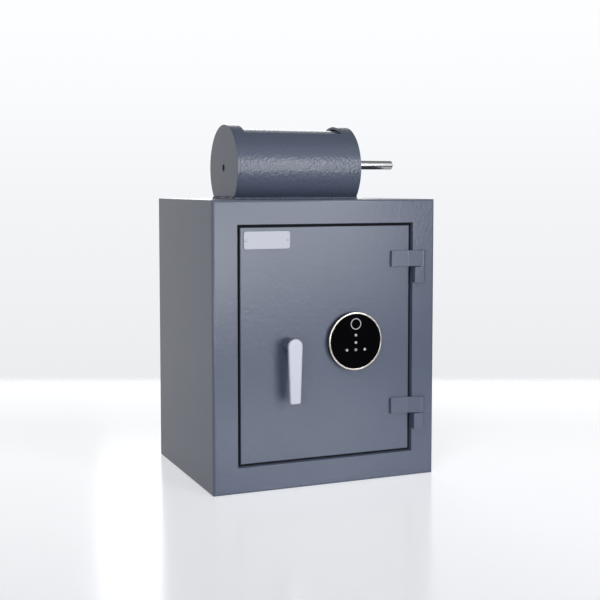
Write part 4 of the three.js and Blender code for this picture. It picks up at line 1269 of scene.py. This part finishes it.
# %% Anchor plugs and mat
for name in ("left", "right"):
    deburr(f"anchor_plug_{name}", black, 0.4 * MM, 3, 50)
deburr("floor_mat", mat_felt, 0.8 * MM, 3, 50)

# %% [markdown]
# Three solids keep their own mesh, because their shape is already right and they hide in a bore: the
# spindle, its nylon bush and the solenoid's plunger. They only need their finish.

# %% Finishes of the kept nodes
for node, material in (("spindle", pin_steel), ("spindle_bush", nylon), ("solenoid_plunger", bolt_steel)):
    kept = frame["nodes"][node].data
    kept.materials.clear()
    kept.materials.append(material)
hidden = [name for name, node in frame["nodes"].items() if node.hide_render]
print("replaced", len(hidden), "kept", len(frame["nodes"]) - len(hidden))

# %% [markdown]
# The stage is a glossy white table in front of a pale wall. The photograph shows the table's far edge as
# a soft bright line behind the safe, so the floor is a square sheet that is turned towards the camera and
# fades out at its border. Its paleness is its own colour and a plain glow for the camera, which changes a
# little with the depth, and never more light on the safe. Mirrors see a weaker glow. The soft shadow and
# the faint mirror image stay, as in the photograph.

# %% Floor
FLOOR_HALF = 0.9
FLOOR_EDGE = 0.72
FLOOR_FADE = 0.1
GLOW_BY_DEPTH = [(-0.9, 0.3), (-0.54, 0.41), (-0.3, 0.47), (0.0, 0.505), (0.25, 0.475), (0.55, 0.535)]
GLOW_IN_MIRRORS = 0.62


def camera_like_ray(tree, mirror_share=1.0):
    """1 for rays that show the stage: camera, mirror and glass rays."""
    path = tree.nodes.new("ShaderNodeLightPath")
    mirrored = math_node(tree, "MAXIMUM", path.outputs["Is Glossy Ray"], path.outputs["Is Transmission Ray"])
    dimmed = math_node(tree, "MULTIPLY", mirrored, mirror_share)
    return math_node(tree, "MAXIMUM", path.outputs["Is Camera Ray"], dimmed)


def level_ramp(tree, value, stops, tint=(1.0, 1.0, 1.0)):
    """A level that follows a value from -1 to 1 through a few stops."""
    low, high = -1.0, 1.0
    place = tree.nodes.new("ShaderNodeMapRange")
    place.inputs["From Min"].default_value = low
    place.inputs["From Max"].default_value = high
    tree.links.new(value, place.inputs["Value"])
    node = tree.nodes.new("ShaderNodeValToRGB")
    ramp = node.color_ramp
    ramp.elements.remove(ramp.elements[1])
    for i, (at, level) in enumerate(stops):
        position = (at - low) / (high - low)
        stop = ramp.elements.new(position) if i else ramp.elements[0]
        stop.position = position
        stop.color = (*(min(level * t, 1.0) for t in tint), 1)
    tree.links.new(place.outputs["Result"], node.inputs["Fac"])
    return node.outputs["Color"]


def smooth_step(tree, value, start, end):
    """Rises softly from 0 at start to 1 at end."""
    step = tree.nodes.new("ShaderNodeMapRange")
    step.interpolation_type = "SMOOTHSTEP"
    step.inputs["From Min"].default_value = start
    step.inputs["From Max"].default_value = end
    tree.links.new(value, step.inputs["Value"])
    return step.outputs["Result"]


def table_top():
    material, tree, shader, place = new_finish("glossy white table", (0.82, 0.83, 0.85), 0.16)
    shader.inputs["Specular IOR Level"].default_value = 0.3
    glow = tree.nodes.new("ShaderNodeEmission")
    glow.inputs["Color"].default_value = (0.985, 0.99, 1.0, 1.0)
    split = tree.nodes.new("ShaderNodeSeparateXYZ")
    tree.links.new(place, split.inputs["Vector"])
    glow_ramp = level_ramp(tree, split.outputs["Y"], GLOW_BY_DEPTH)
    strength = math_node(tree, "MULTIPLY", camera_like_ray(tree, GLOW_IN_MIRRORS), glow_ramp)
    tree.links.new(strength, glow.inputs["Strength"])
    both = tree.nodes.new("ShaderNodeAddShader")
    tree.links.new(shader.outputs["BSDF"], both.inputs[0])
    tree.links.new(glow.outputs["Emission"], both.inputs[1])
    aside = math_node(tree, "ABSOLUTE", split.outputs["X"], 0.0)
    ahead = math_node(tree, "ABSOLUTE", split.outputs["Y"], 0.0)
    border = math_node(tree, "MAXIMUM", aside, ahead)
    fade = smooth_step(tree, border, FLOOR_EDGE - FLOOR_FADE / 2, FLOOR_EDGE + FLOOR_FADE / 2)
    clear = tree.nodes.new("ShaderNodeBsdfTransparent")
    faded = tree.nodes.new("ShaderNodeMixShader")
    tree.links.new(fade, faded.inputs["Fac"])
    tree.links.new(both.outputs["Shader"], faded.inputs[1])
    tree.links.new(clear.outputs["BSDF"], faded.inputs[2])
    tree.links.new(faded.outputs["Shader"], tree.nodes["Material Output"].inputs["Surface"])
    return material


floor_shape = bmesh.new()
bmesh.ops.create_grid(floor_shape, x_segments=1, y_segments=1, size=FLOOR_HALF)
floor_mesh = bpy.data.meshes.new("floor")
floor_shape.to_mesh(floor_mesh)
floor_shape.free()
floor_mesh.materials.append(table_top())
floor = bpy.data.objects.new("floor", floor_mesh)
floor.rotation_euler.z = -CAMERA_TURN
bpy.context.scene.collection.objects.link(floor)
print("table", 2 * FLOOR_HALF, "m square")

# %% [markdown]
# The wall behind is the world itself. What the camera sees of it, and what mirrors show, is a ramp by
# height: pale grey at the table's level, nearly white above, and darker only overhead. No room is bright
# all round, so mirrors, but never the camera, also see two darker corners: one in front on the right, and
# a dim one behind on the left. They give the polished rod and the lock's ring their dark edges. The light
# that the world sheds on the safe is a weak, even grey.

# %% World
WALL = [
    (-1.0, 0.82), (-0.17, 0.835), (-0.1, 0.868), (-0.01, 0.9), (0.08, 0.955), (0.14, 0.98), (0.35, 0.97),
    (0.75, 0.25), (1.0, 0.2),
]
ROOM = [(-1.0, 0.04), (0.02, 0.05), (0.12, 0.85), (0.78, 0.85), (0.86, 0.12), (1.0, 0.1)]
COOL = (1.0, 1.01, 1.035)
DIM_WALL = [(-1.0, 0.68), (0.3, 0.74), (1.0, 0.3)]
DARK_CORNER = {"toward": (0.57, -0.82, 0.0), "starts": 0.3, "full": 0.75, "levels": ROOM}
DIM_CORNER = {"toward": (-0.55, 0.83, 0.0), "starts": 0.75, "full": 0.95, "levels": DIM_WALL}
WORLD_LIGHT = 0.12


def studio_world():
    world = bpy.data.worlds.new("studio")
    world.use_nodes = True
    tree = world.node_tree
    shed = tree.nodes["Background"]
    shed.inputs["Color"].default_value = (1.0, 0.99, 0.98, 1)
    shed.inputs["Strength"].default_value = WORLD_LIGHT
    direction = tree.nodes.new("ShaderNodeTexCoord")
    split = tree.nodes.new("ShaderNodeSeparateXYZ")
    tree.links.new(direction.outputs["Generated"], split.inputs["Vector"])
    seen = level_ramp(tree, split.outputs["Z"], WALL, COOL)
    path = tree.nodes.new("ShaderNodeLightPath")
    in_mirror = math_node(tree, "SUBTRACT", 1.0, path.outputs["Is Camera Ray"])
    for corner in (DARK_CORNER, DIM_CORNER):
        toward = tree.nodes.new("ShaderNodeVectorMath")
        toward.operation = "DOT_PRODUCT"
        toward.inputs[1].default_value = corner["toward"]
        tree.links.new(direction.outputs["Generated"], toward.inputs[0])
        near = smooth_step(tree, toward.outputs["Value"], corner["starts"], corner["full"])
        around = tree.nodes.new("ShaderNodeMix")
        around.data_type = "RGBA"
        tree.links.new(math_node(tree, "MULTIPLY", near, in_mirror), around.inputs["Factor"])
        tree.links.new(seen, around.inputs[6])
        tree.links.new(level_ramp(tree, split.outputs["Z"], corner["levels"], COOL), around.inputs[7])
        seen = around.outputs[2]
    wall = tree.nodes.new("ShaderNodeBackground")
    tree.links.new(seen, wall.inputs["Color"])
    mix = tree.nodes.new("ShaderNodeMixShader")
    tree.links.new(camera_like_ray(tree), mix.inputs["Fac"])
    tree.links.new(shed.outputs["Background"], mix.inputs[1])
    tree.links.new(wall.outputs["Background"], mix.inputs[2])
    tree.links.new(mix.outputs["Shader"], tree.nodes["World Output"].inputs["Surface"])
    return world


bpy.context.scene.world = studio_world()
print("world ready")

# %% [markdown]
# Softboxes light the safe, and no single one is strong. A column of three stands in front on the right:
# its image is the bright band along the drum's housing, and it throws the lever's soft shadow to the
# left. Two more stand nearer the middle. The one high on the left makes the door's upper left its
# brightest part. Two small ones low on the left keep the shaded side open and draw the light lines along
# the rounded edges. The last stands behind, for views of the back.

# %% Softboxes
LAMP_COLOUR = (0.97, 0.985, 1.03)
SAFE_MIDDLE = Vector((0, -0.1, 0.3))


def softbox(name, place, width, height, power):
    """A rectangular lamp that faces the safe's middle. Metres and watts."""
    light = bpy.data.lights.new(name, "AREA")
    light.shape = "RECTANGLE"
    light.size = width
    light.size_y = height
    light.energy = power
    light.color = LAMP_COLOUR
    lamp = bpy.data.objects.new(name, light)
    lamp.location = place
    lamp.rotation_euler = (SAFE_MIDDLE - Vector(place)).to_track_quat("-Z", "Y").to_euler()
    bpy.context.scene.collection.objects.link(lamp)


softbox("front_low", (0.27, -1.95, 0.2), 0.47, 0.3, 4.3)
softbox("front_middle", (0.27, -1.95, 0.5), 0.47, 0.4, 0.6)
softbox("right_low", (0.8, -1.95, 0.28), 0.45, 0.4, 3.4)
softbox("right_middle", (0.8, -1.95, 0.68), 0.45, 0.4, 3.8)
softbox("right_high", (0.8, -1.95, 1.08), 0.45, 0.4, 5.2)
softbox("near_camera", (-0.55, -1.9, 0.15), 0.35, 0.35, 2.3)
softbox("fill_left", (-1.1, -1.3, 0.3), 0.4, 0.4, 2.0)
softbox("high_left", (-0.8, -1.2, 1.9), 0.6, 0.6, 7.3)
softbox("behind", (0.6, 2.0, 1.0), 0.9, 0.9, 6.0)
bpy.context.scene.view_settings.view_transform = "Standard"
